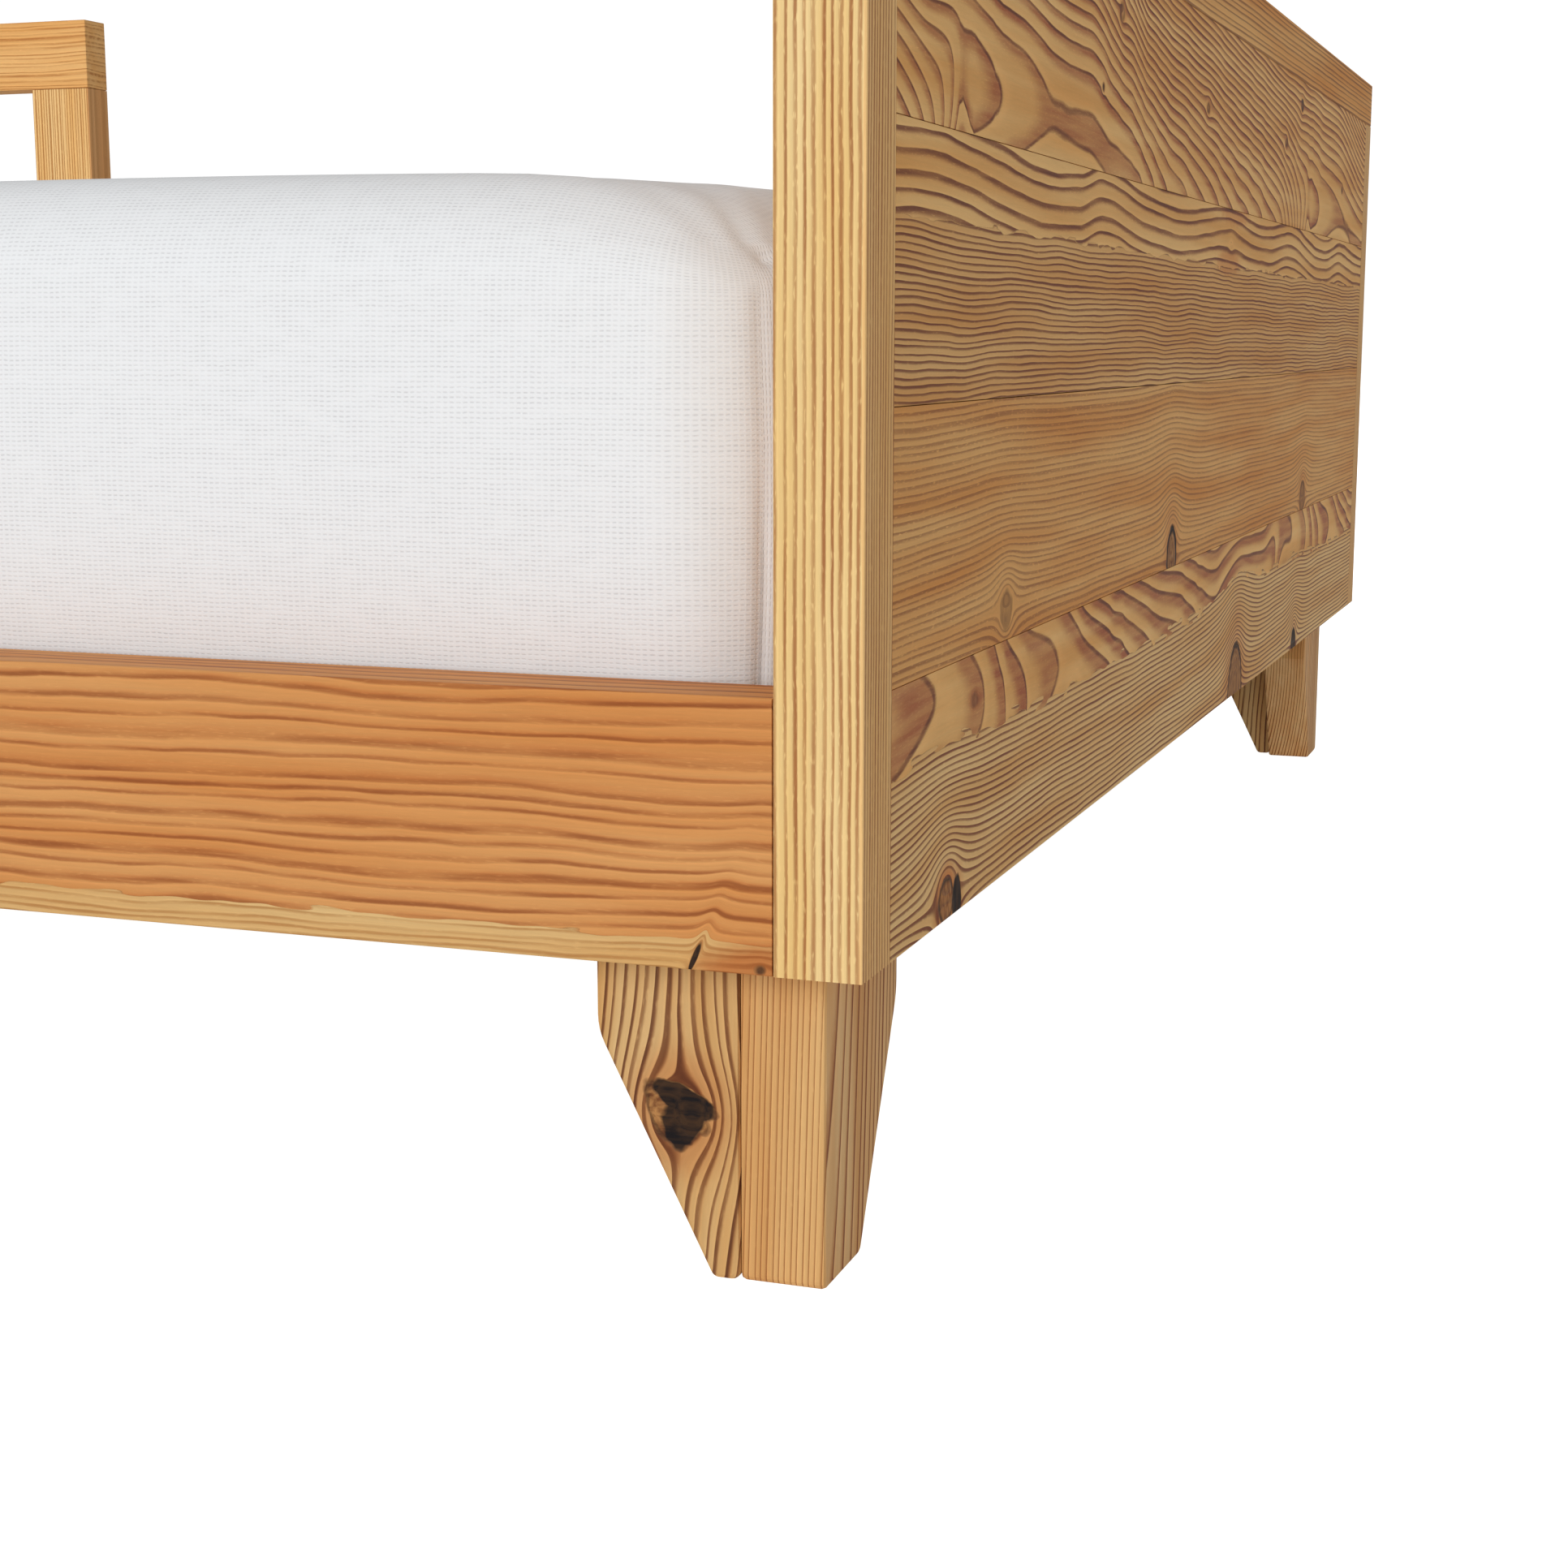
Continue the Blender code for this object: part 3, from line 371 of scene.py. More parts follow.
    # Round a knot the wood reddens, and its bark ring is nearly black
    inputs = {"Factor": 1.0, "A": colour, "B": "#D89468"}
    red = add(tree, MIX, inputs, data_type="RGBA", blend_type="MULTIPLY").outputs["Result"]
    inputs = {"Factor": given["Halo"], "A": colour, "B": red}
    colour = add(tree, MIX, inputs, data_type="RGBA").outputs["Result"]
    swirl = add(tree, NOISE, {"Vector": place, "Scale": 0.7, "Detail": 4.0, "Distortion": 0.4})
    swirl = add(tree, RANGE, {"Value": swirl, "From Min": 0.35, "From Max": 0.65})
    # The rim's near-black is a knot's bark ring; on a broken-out hole it is painted shade in the hollow
    for label, dark, pale in (("Core", "#7A4A2A", "#C08A52"), ("Rim", "#191416", "#46301F")):
        stain = add(tree, MIX, {"Factor": swirl, "A": dark, "B": pale}, data_type="RGBA")
        inputs = {"Factor": given[label], "A": colour, "B": stain.outputs["Result"]}
        colour = add(tree, MIX, inputs, data_type="RGBA").outputs["Result"]
    # Latewood is harder and stands a few hundredths proud of the planed face
    height = add(tree, MATH, [fibre, 0.12, late], operation="MULTIPLY_ADD")
    height = add(tree, MATH, [given["Rim"], -2.5, height], operation="MULTIPLY_ADD")
    rough = add(tree, RANGE, {"Value": late, "To Min": 0.62, "To Max": 0.5})
    tree.links.new(colour, result.inputs["Color"])
    tree.links.new(height.outputs[0], result.inputs["Height"])
    tree.links.new(rough.outputs[0], result.inputs["Roughness"])
    return tree


# How deep a face's own tones reach, so that they stay on that face
SKIN = 0.7
# How a board's grain lies: its length, the width of its main face and its depth
GRAIN = {
    "plank": ((0, 1, 0), (0, 0, 1), (1, 0, 0)),
    "rail": ((1, 0, 0), (0, 0, 1), (0, -1, 0)),
    "post": ((0, 0, 1), (1, 0, 0), (0, 1, 0)),
    "far post": ((0, 0, 1), (-1, 0, 0), (0, -1, 0)),
    "side": ((0, 0, 1), (0, 1, 0), (-1, 0, 0)),
    "slat": ((0, 1, 0), (1, 0, 0), (0, 0, -1)),
}
# Pine as it reads on each kind of board: earlywood, latewood, the edge of the year, the slow tint
TONES = {
    "honey": ("#FBDC9E", "#D79C5E", "#A86A40", "#F7EBD5"),
    "orange": ("#DE9F60", "#C8773E", "#98592F", "#F5E2CC"),
    "brown": ("#FACA84", "#B86539", "#744028", "#F0DCC4"),
    "ochre": ("#F0BA74", "#C6824A", "#8E5A34", "#EFD5B6"),
    "russet": ("#E2BE86", "#B8763F", "#6A4430", "#F2DFC8"),
    "amber": ("#F4CA90", "#BC7640", "#9A5A30", "#EEDAC6"),
    "gold": ("#F5C07C", "#E1A058", "#C6884E", "#F6E8D4"),
    "pale": ("#EACF9E", "#CFA26C", "#AD8354", "#F4E8D4"),
}
GROUPS = {}


def pith_path(tree, along, origin, points):
    """How the pith wanders: ring count, height and depth at places along the board, as one ramp.

    A point that leaves out its last values keeps those of the point before it.
    """
    filled = [points[0]]
    for point in points[1:]:
        filled.append((*point, *filled[-1][len(point) :]))
    first, last = filled[0][0], filled[-1][0]
    share = add(tree, RANGE, {"Value": along, "From Min": origin + first, "From Max": origin + last})
    columns = list(zip(*filled))[1:]
    lows = [min(column) for column in columns]
    spans = [max(column) - low or 1.0 for column, low in zip(columns, lows)]
    stops = []
    for spot, *values in filled:
        shares = [0.1 + 0.8 * (value - low) / span for value, low, span in zip(values, lows, spans)]
        stops.append(((spot - first) / (last - first), shares))
    wander = add(tree, "ShaderNodeValToRGB", [share])
    set_stops(wander.color_ramp, "CARDINAL", stops)
    scale = Vector(spans) / 0.8
    offset = Vector(lows) - scale * 0.1
    return add(tree, VECTOR, [wander.outputs["Color"], scale, offset], operation="MULTIPLY_ADD").outputs[0]


def oiled_pine(node, grain, pith, tone, knots=(), along=0.0, path=(), origin=0.0, **values):
    """Give a CAD node pine sawn so that its log's pith passes through a point, in millimetres.

    Solid softwood, planed, sanded and oiled: satin, with darker, harder latewood lines.
    With a path, the pith wanders from the point as the path says.
    """
    if not GROUPS:
        GROUPS["knot"] = knot_group()
        GROUPS["pine"] = pine_group()
    material, tree = new_material("pine, " + node.replace("_", " "))
    turn = Matrix(GRAIN[grain])
    start = Vector((along, 0, 0)) - turn @ Vector(pith)
    here = add(tree, WHERE).outputs["Object"]
    laid = {"Vector": here, "Location": start, "Rotation": turn.to_euler(), "Scale": TO_MM}
    place = add(tree, MAPPING, laid).outputs[0]
    wood = add(tree, "ShaderNodeGroup", node_tree=GROUPS["pine"])
    if path:
        parts = add(tree, SPLIT, [place]).outputs
        tree.links.new(pith_path(tree, parts["X"], origin, path), wood.inputs["Path"])
    marks = {}
    for spot, facts in knots:
        inputs = {"Place": place, **marks, "Centre": start + turn @ Vector(spot)}
        inputs.update({label.capitalize(): value for label, value in facts.items()})
        found = add(tree, "ShaderNodeGroup", node_tree=GROUPS["knot"])
        set_inputs(tree, found, inputs)
        place = found.outputs["Place"]
        marks = {label: found.outputs[label] for label in MARKS}
    early, late, edge, tint = TONES[tone]
    inputs = {"Place": place, **marks, "Early": early, "Late": late, "Edge": edge, "Tint": tint}
    inputs.update({"Zone early": early, "Zone late": edge})
    inputs.update({label.replace("_", " ").capitalize(): value for label, value in values.items()})
    set_inputs(tree, wood, inputs)
    bump = add(tree, BUMP, {"Height": wood.outputs["Height"], "Strength": 0.6, "Distance": 0.1 * MM})
    surface = add(
        tree,
        SURFACE,
        {
            "Base Color": wood.outputs["Color"],
            "Roughness": wood.outputs["Roughness"],
            "IOR": 1.5,
            "Specular IOR Level": 0.15,
            "Normal": bump,
        },
    )
    add(tree, OUTPUT, {"Surface": surface})
    dress(node, material)


def knot(spot, **facts):
    """A knot's place, with its size and the other inputs of the knot group."""
    return spot, facts


def dress(node, material):
    """Give a CAD node its finished material."""
    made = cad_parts[node]
    made.data.materials.clear()
    made.data.materials.append(material)


def middle_of(node):
    """The middle of a CAD node, in millimetres."""
    low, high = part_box(node)
    return (low + high) / 2 * PER_METRE


def rail_spot(inward, height):
    """A place on the front rail's outer face, from the foot end's face, in millimetres."""
    return (FOOT_FACE - inward, FRONT_FACE, height)


def panel_spot(across, height):
    """A place on the foot panel's outer face, from its front edge, in millimetres."""
    return (0.0, PANEL_FRONT + across, height)


def zinc_plated_steel():
    """Steel screws and sleeves, zinc plated and bright: a soft grey shine with faint clouding."""
    material, tree = new_material("zinc plated steel")
    here = add(tree, WHERE).outputs["Object"]
    # Clouds in the zinc, 1.4 mm wide
    cloud = add(tree, NOISE, {"Vector": here, "Scale": 700.0, "Detail": 3.0})
    rough = add(tree, RANGE, {"Value": cloud, "To Min": 0.24, "To Max": 0.42})
    tone = add(tree, MIX, {"Factor": cloud, "A": "#B9BCC0", "B": "#D2D3D4"}, data_type="RGBA")
    shine = {"Base Color": tone.outputs["Result"], "Metallic": 1.0, "Roughness": rough}
    surface = add(tree, SURFACE, shine)
    add(tree, OUTPUT, {"Surface": surface})
    return material


# The strip beside a corner seam: its width, the distances down at which it starts and is full,
# the width of the painted shade in the crease next to the seam, and the length of a stitch
STRIP_WIDTH = 2.6 * MM
STRIP_START = 58 * MM
STRIP_FULL = 72 * MM
CREASE_WIDTH = 0.9 * MM
STITCH = 2.6 * MM


def waffle_knit(settings):
    """Cotton knit of the fitted sheet, bleached white: dull, in fine rows with painted shade in the gaps
    between them.
    """
    material, tree = new_material("white cotton knit")
    cloth = add(tree, "ShaderNodeUVMap", uv_map="cloth")
    place = add(tree, MAPPING, {"Vector": cloth, "Scale": TO_MM})
    # The yarn wanders a little
    loose = add(tree, NOISE, {"Vector": place, "Scale": 0.35, "Detail": 2.0})
    loose = add(tree, VECTOR, [loose.outputs["Color"], (0.5, 0.5, 0.5)], operation="SUBTRACT")
    loose = add(tree, VECTOR, {0: loose, "Scale": 0.5}, operation="SCALE")
    place = add(tree, VECTOR, [place, loose], operation="ADD")
    parts = add(tree, SPLIT, [place]).outputs
    # Rows of short floats, the shade in the gaps between them painted as grey dashes
    row = add(tree, MATH, [parts["Y"], settings.row_spacing * PER_METRE], operation="DIVIDE")
    column = add(tree, MATH, [parts["X"], settings.float_spacing * PER_METRE], operation="DIVIDE")
    up = add(tree, MATH, [row, 1.0], operation="FRACT")
    up = add(tree, MATH, [up, 0.5], operation="SUBTRACT")
    up = add(tree, MATH, [up], operation="ABSOLUTE")
    line = add(
        tree, RANGE, {"Value": up, "From Min": 0.26, "From Max": 0.02}, interpolation_type="SMOOTHSTEP"
    )
    swell = add(tree, MATH, [column, math.tau], operation="MULTIPLY")
    swell = add(tree, MATH, [swell], operation="COSINE")
    swell = add(tree, RANGE, {"Value": swell, "From Min": -1.0, "From Max": 0.4})
    dash = add(tree, MATH, [line, swell], operation="MULTIPLY")
    # Thick and thin places in the yarn show as a faint mottling
    streak = add(tree, VECTOR, [place, (1 / 7, 1 / 3.2, 0)], operation="MULTIPLY")
    streak = add(tree, NOISE, {"Vector": streak, "Scale": 1.0, "Detail": 2.0, "Roughness": 0.6})
    streak = add(tree, RANGE, {"Value": streak, "From Min": 0.35, "From Max": 0.65})
    weight = add(tree, RANGE, {"Value": streak, "To Min": 0.35, "To Max": 1.0})
    dark = add(tree, MATH, [dash, weight], operation="MULTIPLY")
    dark = add(tree, MATH, [dark, settings.dash_depth], operation="MULTIPLY")
    haze = add(tree, MATH, [streak, 0.02, dark], operation="MULTIPLY_ADD")
    # Beside each corner seam, from below the pinch, runs a strip of stitched allowance, with painted shade in
    # the crease next to the seam
    beyond = add(tree, VECTOR, [cloth], operation="ABSOLUTE")
    beyond = add(tree, VECTOR, [beyond, (*SEAM, 0)], operation="SUBTRACT")
    beyond = add(tree, SPLIT, [beyond]).outputs
    nearer = add(tree, MATH, [beyond["X"], beyond["Y"]], operation="MINIMUM")
    down = add(tree, MATH, [beyond["X"], beyond["Y"]], operation="MAXIMUM")
    strip = add(tree, RANGE, {"Value": nearer, "From Min": -STRIP_WIDTH, "From Max": 0.4 * MM - STRIP_WIDTH})
    low = add(tree, RANGE, {"Value": down, "From Min": STRIP_START, "From Max": STRIP_FULL})
    strip = add(tree, MATH, [strip, low], operation="MULTIPLY")
    # Painted shade in the crease next to the seam
    crease_shade = add(tree, RANGE, {"Value": nearer, "From Min": -CREASE_WIDTH, "From Max": -CREASE_WIDTH / 3})
    crease_shade = add(tree, MATH, [crease_shade, low], operation="MULTIPLY")
    stitch = add(tree, MATH, [down, math.tau / STITCH], operation="MULTIPLY")
    stitch = add(tree, MATH, [stitch], operation="SINE")
    stitch = add(tree, RANGE, {"Value": stitch, "From Min": 0.3, "From Max": 0.9, "To Max": 0.05})
    stitch = add(tree, MATH, [crease_shade, 0.3, stitch], operation="MULTIPLY_ADD")
    haze = add(tree, MIX, {"Factor": strip, "A": haze, "B": stitch}).outputs["Result"]
    # The grey is the painted shade of the knit's gaps and of the seam's crease, with the yarn's mottling and
    # the stitches
    inputs = {"Factor": haze, "A": (*settings.colour, 1.0), "B": "#A8A6A9"}
    tone = add(tree, MIX, inputs, data_type="RGBA").outputs["Result"]
    height = add(tree, MATH, [1.0, dash], operation="SUBTRACT")
    bump = add(tree, BUMP, {"Height": height, "Strength": 0.35, "Distance": 0.2 * MM})
    surface = add(
        tree,
        SURFACE,
        {
            "Base Color": tone,
            "Roughness": 0.9,
            "IOR": 1.46,
            "Specular IOR Level": 0.25,
            "Sheen Weight": 0.08,
            "Sheen Roughness": 0.5,
            "Normal": bump,
        },
    )
    add(tree, OUTPUT, {"Surface": surface})
    return material


def cotton_ticking():
    """Twill cover of the mattress, unbleached cotton: fine slanting ribs, warm white."""
    material, tree = new_material("unbleached cotton ticking")
    here = add(tree, WHERE).outputs["Object"]
    place = add(tree, MAPPING, {"Vector": here, "Rotation": (0, 0, math.radians(38)), "Scale": TO_MM})
    # Real ribs are 0.5 mm apart; 1.6 mm is the finest that shows
    ribs = {"Vector": place, "Scale": 0.2, "Distortion": 0.4}
    rib = add(tree, "ShaderNodeTexWave", ribs, bands_direction="X")
    slub = add(tree, NOISE, {"Vector": place, "Scale": 0.08, "Detail": 3.0})
    shade = add(tree, MATH, [rib, slub], operation="MULTIPLY")
    inputs = {"Factor": shade, "A": "#EFEAE0", "B": "#D5CCBC"}
    tone = add(tree, MIX, inputs, data_type="RGBA").outputs["Result"]
    bump = add(tree, BUMP, {"Height": rib, "Strength": 0.4, "Distance": 0.2 * MM})
    cloth = {"Base Color": tone, "Roughness": 0.88, "Specular IOR Level": 0.25, "Normal": bump}
    surface = add(tree, SURFACE, cloth)
    add(tree, OUTPUT, {"Surface": surface})
    return material


class StudioSettings(bpy.types.PropertyGroup):
    key_strength: FloatProperty(
        name="Key light", description="Strength of the broad light in front", default=1.63, min=0
    )
    key_softness: FloatProperty(
        name="Key softness",
        description="Angle that the broad light fills",
        default=math.radians(50),
        subtype="ANGLE",
    )
    surround: FloatProperty(
        name="Surround", description="Strength of the even light from all round", default=0.37, min=0
    )
    floor_colour: FloatVectorProperty(
        name="Floor", description="Colour of the floor", subtype="COLOR", default=linear("#F4F4F4")
    )
    lens: FloatProperty(
        name="Lens", description="Focal length of the camera, in millimetres", default=57.74, unit="CAMERA"
    )


class ClothSettings(bpy.types.PropertyGroup):
    colour: FloatVectorProperty(
        name="Sheet", description="Colour of the fitted sheet", subtype="COLOR", default=linear("#FBFDFF")
    )
    row_spacing: FloatProperty(
        name="Row spacing",
        description="Distance between the rows of the knit",
        default=0.00102,
        unit="LENGTH",
    )
    float_spacing: FloatProperty(
        name="Float spacing",
        description="Distance between the short floats in a row",
        default=0.0015,
        unit="LENGTH",
    )
    # How dark the painted shade in the knit's gaps reads
    dash_depth: FloatProperty(
        name="Row depth", description="How dark the rows of the knit read", default=0.33, min=0, max=1
    )
    thickness: FloatProperty(
        name="Thickness", description="Thickness of the fitted sheet", default=0.0007, unit="LENGTH"
    )
    frames: IntProperty(
        name="Puff frames", description="Frames of cloth simulation that fill the mattress", default=20, min=2
    )


FLOOR_RADIUS = 14.0
# The floor's glow for other rays and for the camera, and the surround that the camera sees
FLOOR_GLOW = {"To Min": 0.04, "To Max": 0.92}
SURROUND_SEEN = 1.05
# The way that the key light shines, and the camera as it was fitted to the photograph
KEY_WAY = (0.06, 1.0, -0.30)
CAMERA_PLACE = (0.8238, -0.8206, 0.1876)
CAMERA_TURN = (math.radians(79.99), 0.0, math.radians(19.437))


class BuildOperator:
    """What the bed's operators share."""

    bl_options = {"REGISTER", "UNDO"}


class FLOORBED_OT_studio(BuildOperator, bpy.types.Operator):
    """Put up the pale floor, the soft light and the camera"""

    bl_idname = "floorbed.studio"
    bl_label = "Studio"

    def execute(self, context):
        settings = context.scene.studio_settings
        material, tree = new_material("pale studio floor")
        # The photograph's ground is pure white, so the camera sees the floor glow
        seen = add(tree, "ShaderNodeLightPath").outputs["Is Camera Ray"]
        surface = add(
            tree,
            SURFACE,
            {
                "Base Color": (*settings.floor_colour, 1.0),
                "Roughness": 0.9,
                "Specular IOR Level": 0.0,
                "Emission Color": (*WHITE, 1.0),
                "Emission Strength": add(tree, RANGE, {"Value": seen, **FLOOR_GLOW}),
            },
        )
        add(tree, OUTPUT, {"Surface": surface})
        form = bmesh.new()
        bmesh.ops.create_circle(form, cap_ends=True, segments=96, radius=FLOOR_RADIUS)
        floor = new_piece(context, "floor", form, material)

        world = bpy.data.worlds.new("studio")
        context.scene.world = world
        world.use_nodes = True
        tree = world.node_tree
        tree.nodes.clear()
        seen = add(tree, "ShaderNodeLightPath").outputs["Is Camera Ray"]
        strength = add(tree, RANGE, {"Value": seen, "To Min": settings.surround, "To Max": SURROUND_SEEN})
        glow = add(tree, "ShaderNodeBackground", {"Color": (*WHITE, 1.0), "Strength": strength})
        add(tree, "ShaderNodeOutputWorld", {"Surface": glow})

        lamp = bpy.data.lights.new("key", "SUN")
        lamp.energy = settings.key_strength
        lamp.angle = settings.key_softness
        key = bpy.data.objects.new("key", lamp)
        context.scene.collection.objects.link(key)
        key.rotation_euler = Vector(KEY_WAY).to_track_quat("-Z", "Y").to_euler()

        lens = bpy.data.cameras.new("camera")
        lens.lens = settings.lens
        lens.sensor_width = 36.0
        lens.clip_start = 0.01
        lens.clip_end = 100.0
        camera = bpy.data.objects.new("camera", lens)
        context.scene.collection.objects.link(camera)
        camera.location = CAMERA_PLACE
        camera.rotation_euler = CAMERA_TURN
        context.scene.camera = camera
        context.scene.view_settings.view_transform = "Standard"
        return {"FINISHED"}


# How the pith wanders in the foot panel's planks: each point is a place from the front edge, with
# the ring count, height and depth of the pith, in millimetres. This one gives broad tongues at
# both ends, and slanting rings between them
TOP_PATH = [
    (0, -8.5, 190, -150), (22, -4.0, 213, -100), (45, 0.16, 240.2, -52), (60, 0.45, 239.4, -57),
    (74, 0.82, 238.8, -60), (81, 1.0, 238.5), (88, 1.16, 239), (104, 1.4, 239.3),
    (122, 1.84, 239), (140, 1.88, 238), (156, 1.88, 237.7), (172, 1.86, 237), (187, 1.84, 233),
    (202, 1.7, 229), (219, 1.66, 225.5), (232, 1.65, 221), (249, 2.64), (267, 3.64),
    (299, 4.64), (348, 6.3), (380, 7.64), (411, 8.64), (440, 9.64), (485, 11.4),
    (515, 15.5, 226, -70), (545, 19.16, 240.2, -52), (560, 19.45, 239.4, -57),
    (582, 20.0, 238.5, -60), (650, 20.93, 238), (722, 20.7, 224),
]
# Here only the height changes, so that the rings run in waves
UPPER_PATH = [
    (0, 0, 0, 0), (45, 0, 1.0), (115, 0, -3.5), (160, 0, -2.5), (184, 0, 0.5), (230, 0, -3.0),
    (275, 0, -4.5), (320, 0, -2.0), (375, 0, 0), (420, 0, -2.0), (460, 0, -1.5), (510, 0, 2.0),
    (565, 0, -3.0), (610, 0, -4.0), (650, 0, 0.8), (690, 0, -1.5), (722, 0, -3.0),
]
# Here the rings stand up as teeth, which come again after half a metre
LOW_PATH = [
    (0, 0.45, 113, -40), (35, 1.0, 112.6), (52, 1.2, 109), (75, 2.0, 108), (84, 2.4, 105),
    (93, 3.0, 103), (113, 4.0, 104), (146, 5.0, 108), (170, 5.0, 97), (204, 5.48, 90),
    (223, 6.2), (260, 7.48), (307, 8.56), (330, 9.4), (344, 9.9), (362, 10.4), (378, 10.3),
    (410, 9.85), (440, 9.6), (475, 9.7, 93), (503, 11.45, 113), (537, 12.0), (554, 12.2, 109),
    (576, 13.0, 108), (586, 13.4, 105), (596, 14.0, 103), (615, 15.0, 104), (647, 16.0, 108),
    (672, 16.0, 97), (705, 16.48, 90), (722, 17.2),
]


class FLOORBED_OT_end_panels(BuildOperator, bpy.types.Operator):
    """Give both end panels their posts, four planks and cap in pine"""

    bl_idname = "floorbed.end_panels"
    bl_label = "End panels"

    def execute(self, context):
        face = (FOOT_FACE, 0, 0)
        oiled_pine(
            "foot_top_plank", "plank", face, "brown",
            path=TOP_PATH, origin=PANEL_FRONT, ring_width=1.5, wave=0.5, uneven=0.0, band_start=0.24,
            flat_start=0.58, edge_width=0.5,
            knots=[
                knot(panel_spot(202, 270), size=2.5, flow=3.0, dark=0.35),
                knot(panel_spot(329, 257), size=1.6, length=1.6, flow=2.6, dark=0.5),
                knot(panel_spot(489, 258), size=1.6, length=1.6, flow=2.8, dark=0.5),
                knot(panel_spot(526, 274), size=2.3, flow=2.4),
                knot(panel_spot(181, 250), size=1.1, flow=1.6, filled=1.0),
                knot(panel_spot(650, 250), size=1.3, flow=1.8, dark=0.9, filled=1.0),
            ],
        )
        oiled_pine(
            "foot_upper_plank", "plank", face, "brown",
            path=UPPER_PATH, origin=PANEL_FRONT, ring_width=3.9, taper=1 / 900, wave=1.2, uneven=0.5,
            zone_edge=211.0, zone_ring_width=1.45, zone_early="#EEBC7A",
            zone_late="#85492A", edge_width=0.9, band_start=0.48, flat_start=0.6,
            knots=[
                knot(panel_spot(383, 228), size=2.4, length=7.0, flow=0.0, dark=0.0, red=0.45),
                knot(panel_spot(373, 212), size=2.4, length=6.0, flow=0.0, dark=0.0, red=0.45),
                knot(panel_spot(377, 218), size=2.4, length=2.4, flow=2.2, dark=0.0, red=0.0),
            ],
        )
        oiled_pine(
            "foot_middle_plank", "plank", face, "ochre",
            ring_width=1.6, wave=0.6, contrast=0.55, fleck=1.0, edge_width=0.5, band_start=0.4,
            knots=[
                knot(panel_spot(92, 128), size=4.5, flow=6.5, dark=0.3, filled=0.8, red=0.0),
                knot(panel_spot(288, 124), size=9.5, length=0.8, flow=10.5, bark=2.2, dark=1.0, filled=0.0),
                knot(panel_spot(562, 126), size=6.5, length=1.1, flow=8.5, dark=0.6),
            ],
        )
        oiled_pine(
            "foot_low_plank", "plank", face, "brown",
            path=LOW_PATH, origin=PANEL_FRONT, ring_width=3.4, wave=0.8, uneven=0.0, band_start=0.22,
            flat_start=0.3, edge_width=0.9, zone_edge=102.0, zone_ring_width=1.6,
            zone_early="#FAD292", zone_late="#8E5030", zone_contrast=0.95, torn=3.0,
            knots=[
                knot(panel_spot(53, 69), size=6.0, length=0.6, flow=0.0, dark=1.0, filled=1.0),
                knot(panel_spot(45, 71), size=5.0, flow=10.0, bark=1.0, red=0.8, filled=0.0),
                knot(panel_spot(411, 65), size=20.0, length=0.75, flow=17.0, bark=2.2, dark=0.9, filled=0.0),
                knot(panel_spot(551, 69), size=6.0, length=1.0, flow=9.0, bark=3.0, dark=1.0, filled=0.9),
                knot(panel_spot(66, 109), size=1.8, length=1.8, flow=2.0, dark=0.3),
            ],
        )
        for index, name in enumerate(("top", "upper", "middle", "low")):
            oiled_pine(
                f"head_{name}_plank", "plank",
                (HEAD_FACE + 20.0 + 9 * index, 0, 250.0 - 70 * index), "brown" if index % 2 else "ochre",
                ring_width=2.4 + 0.5 * (index % 3), taper=1 / 110, wave=1.8, along=900.0 * (index + 1),
                knots=[knot((HEAD_FACE, 240.0 - 170 * index, 275.0 - 54 * index), length=1.4)],
            )
        for end, face in (("foot", FOOT_FACE), ("head", HEAD_FACE)):
            oiled_pine(
                f"{end}_cap", "plank", (face * 0.9, 0, 180.0), "ochre",
                ring_width=1.6, wave=0.4, along=7000.0 + face, contrast=0.8, band_start=0.5,
            )
            for side, front in (("front", FRONT_FACE), ("back", BACK_FACE)):
                pith = Vector((math.copysign(70.0, face), math.copysign(75.0, front), 0))
                # The outer end face has tones of its own
                oiled_pine(
                    f"{end}_{side}_post", "far post" if end == "foot" else "post",
                    Vector((face, front, 0)) - pith, "honey",
                    ring_width=1.15, wave=0.6, along=1300.0 + face + front, fleck=1.0, broken=0.5,
                    uneven=0.5, fall_width=0.16, band_start=0.4, contrast=0.85,
                    zone_edge=SKIN - abs(pith.x), zone_grain=0.0, zone_early="#F9CE8E",
                    zone_late="#B06C3C", torn=0.2,
                )
        return {"FINISHED"}


class FLOORBED_OT_rails(BuildOperator, bpy.types.Operator):
    """Give the two side rails their orange pine"""

    bl_idname = "floorbed.rails"
    bl_label = "Side rails"

    def execute(self, context):
        oiled_pine(
            "front_rail", "rail", (0, FRONT_FACE + 60.0, 190.0), "orange",
            ring_width=2.7, taper=1 / 400, wave=1.9, along=500.0, uneven=0.9, band_start=0.3,
            fall_width=0.14, broken=0.7, edge_width=0.7, contrast=0.85,
            zone_edge=-117.0, zone_ring_width=1.5, zone_early="#E4BE82",
            zone_late="#BE8A50", zone_contrast=0.8,
            knots=[
                knot(rail_spot(19.5, 67.5), size=3.4, length=2.6, flow=0.0, dark=0.0, red=0.7),
                knot(
                    rail_spot(34.1, 69.6), size=2.9, length=0.2, lean=-0.42, flow=4.0, filled=1.0,
                    dark=1.0, ragged=0.3,
                ),
                knot(rail_spot(20.5, 68.0), size=0.6, flow=1.2, dark=0.7, filled=1.0),
            ],
        )
        oiled_pine(
            "back_rail", "rail", (0, BACK_FACE + 24.0, 30.0), "orange",
            ring_width=3.3, taper=1 / 300, wave=1.5, along=3100.0, band_start=0.3, fall_width=0.14,
            broken=0.55, edge_width=0.8,
            knots=[
                knot((-310, BACK_FACE, 92), size=5.0, length=1.4, flow=7.0),
                knot((420, BACK_FACE, 101), size=3.0, length=1.4, flow=4.0, dark=1.0, filled=1.0),
            ],
        )
        return {"FINISHED"}


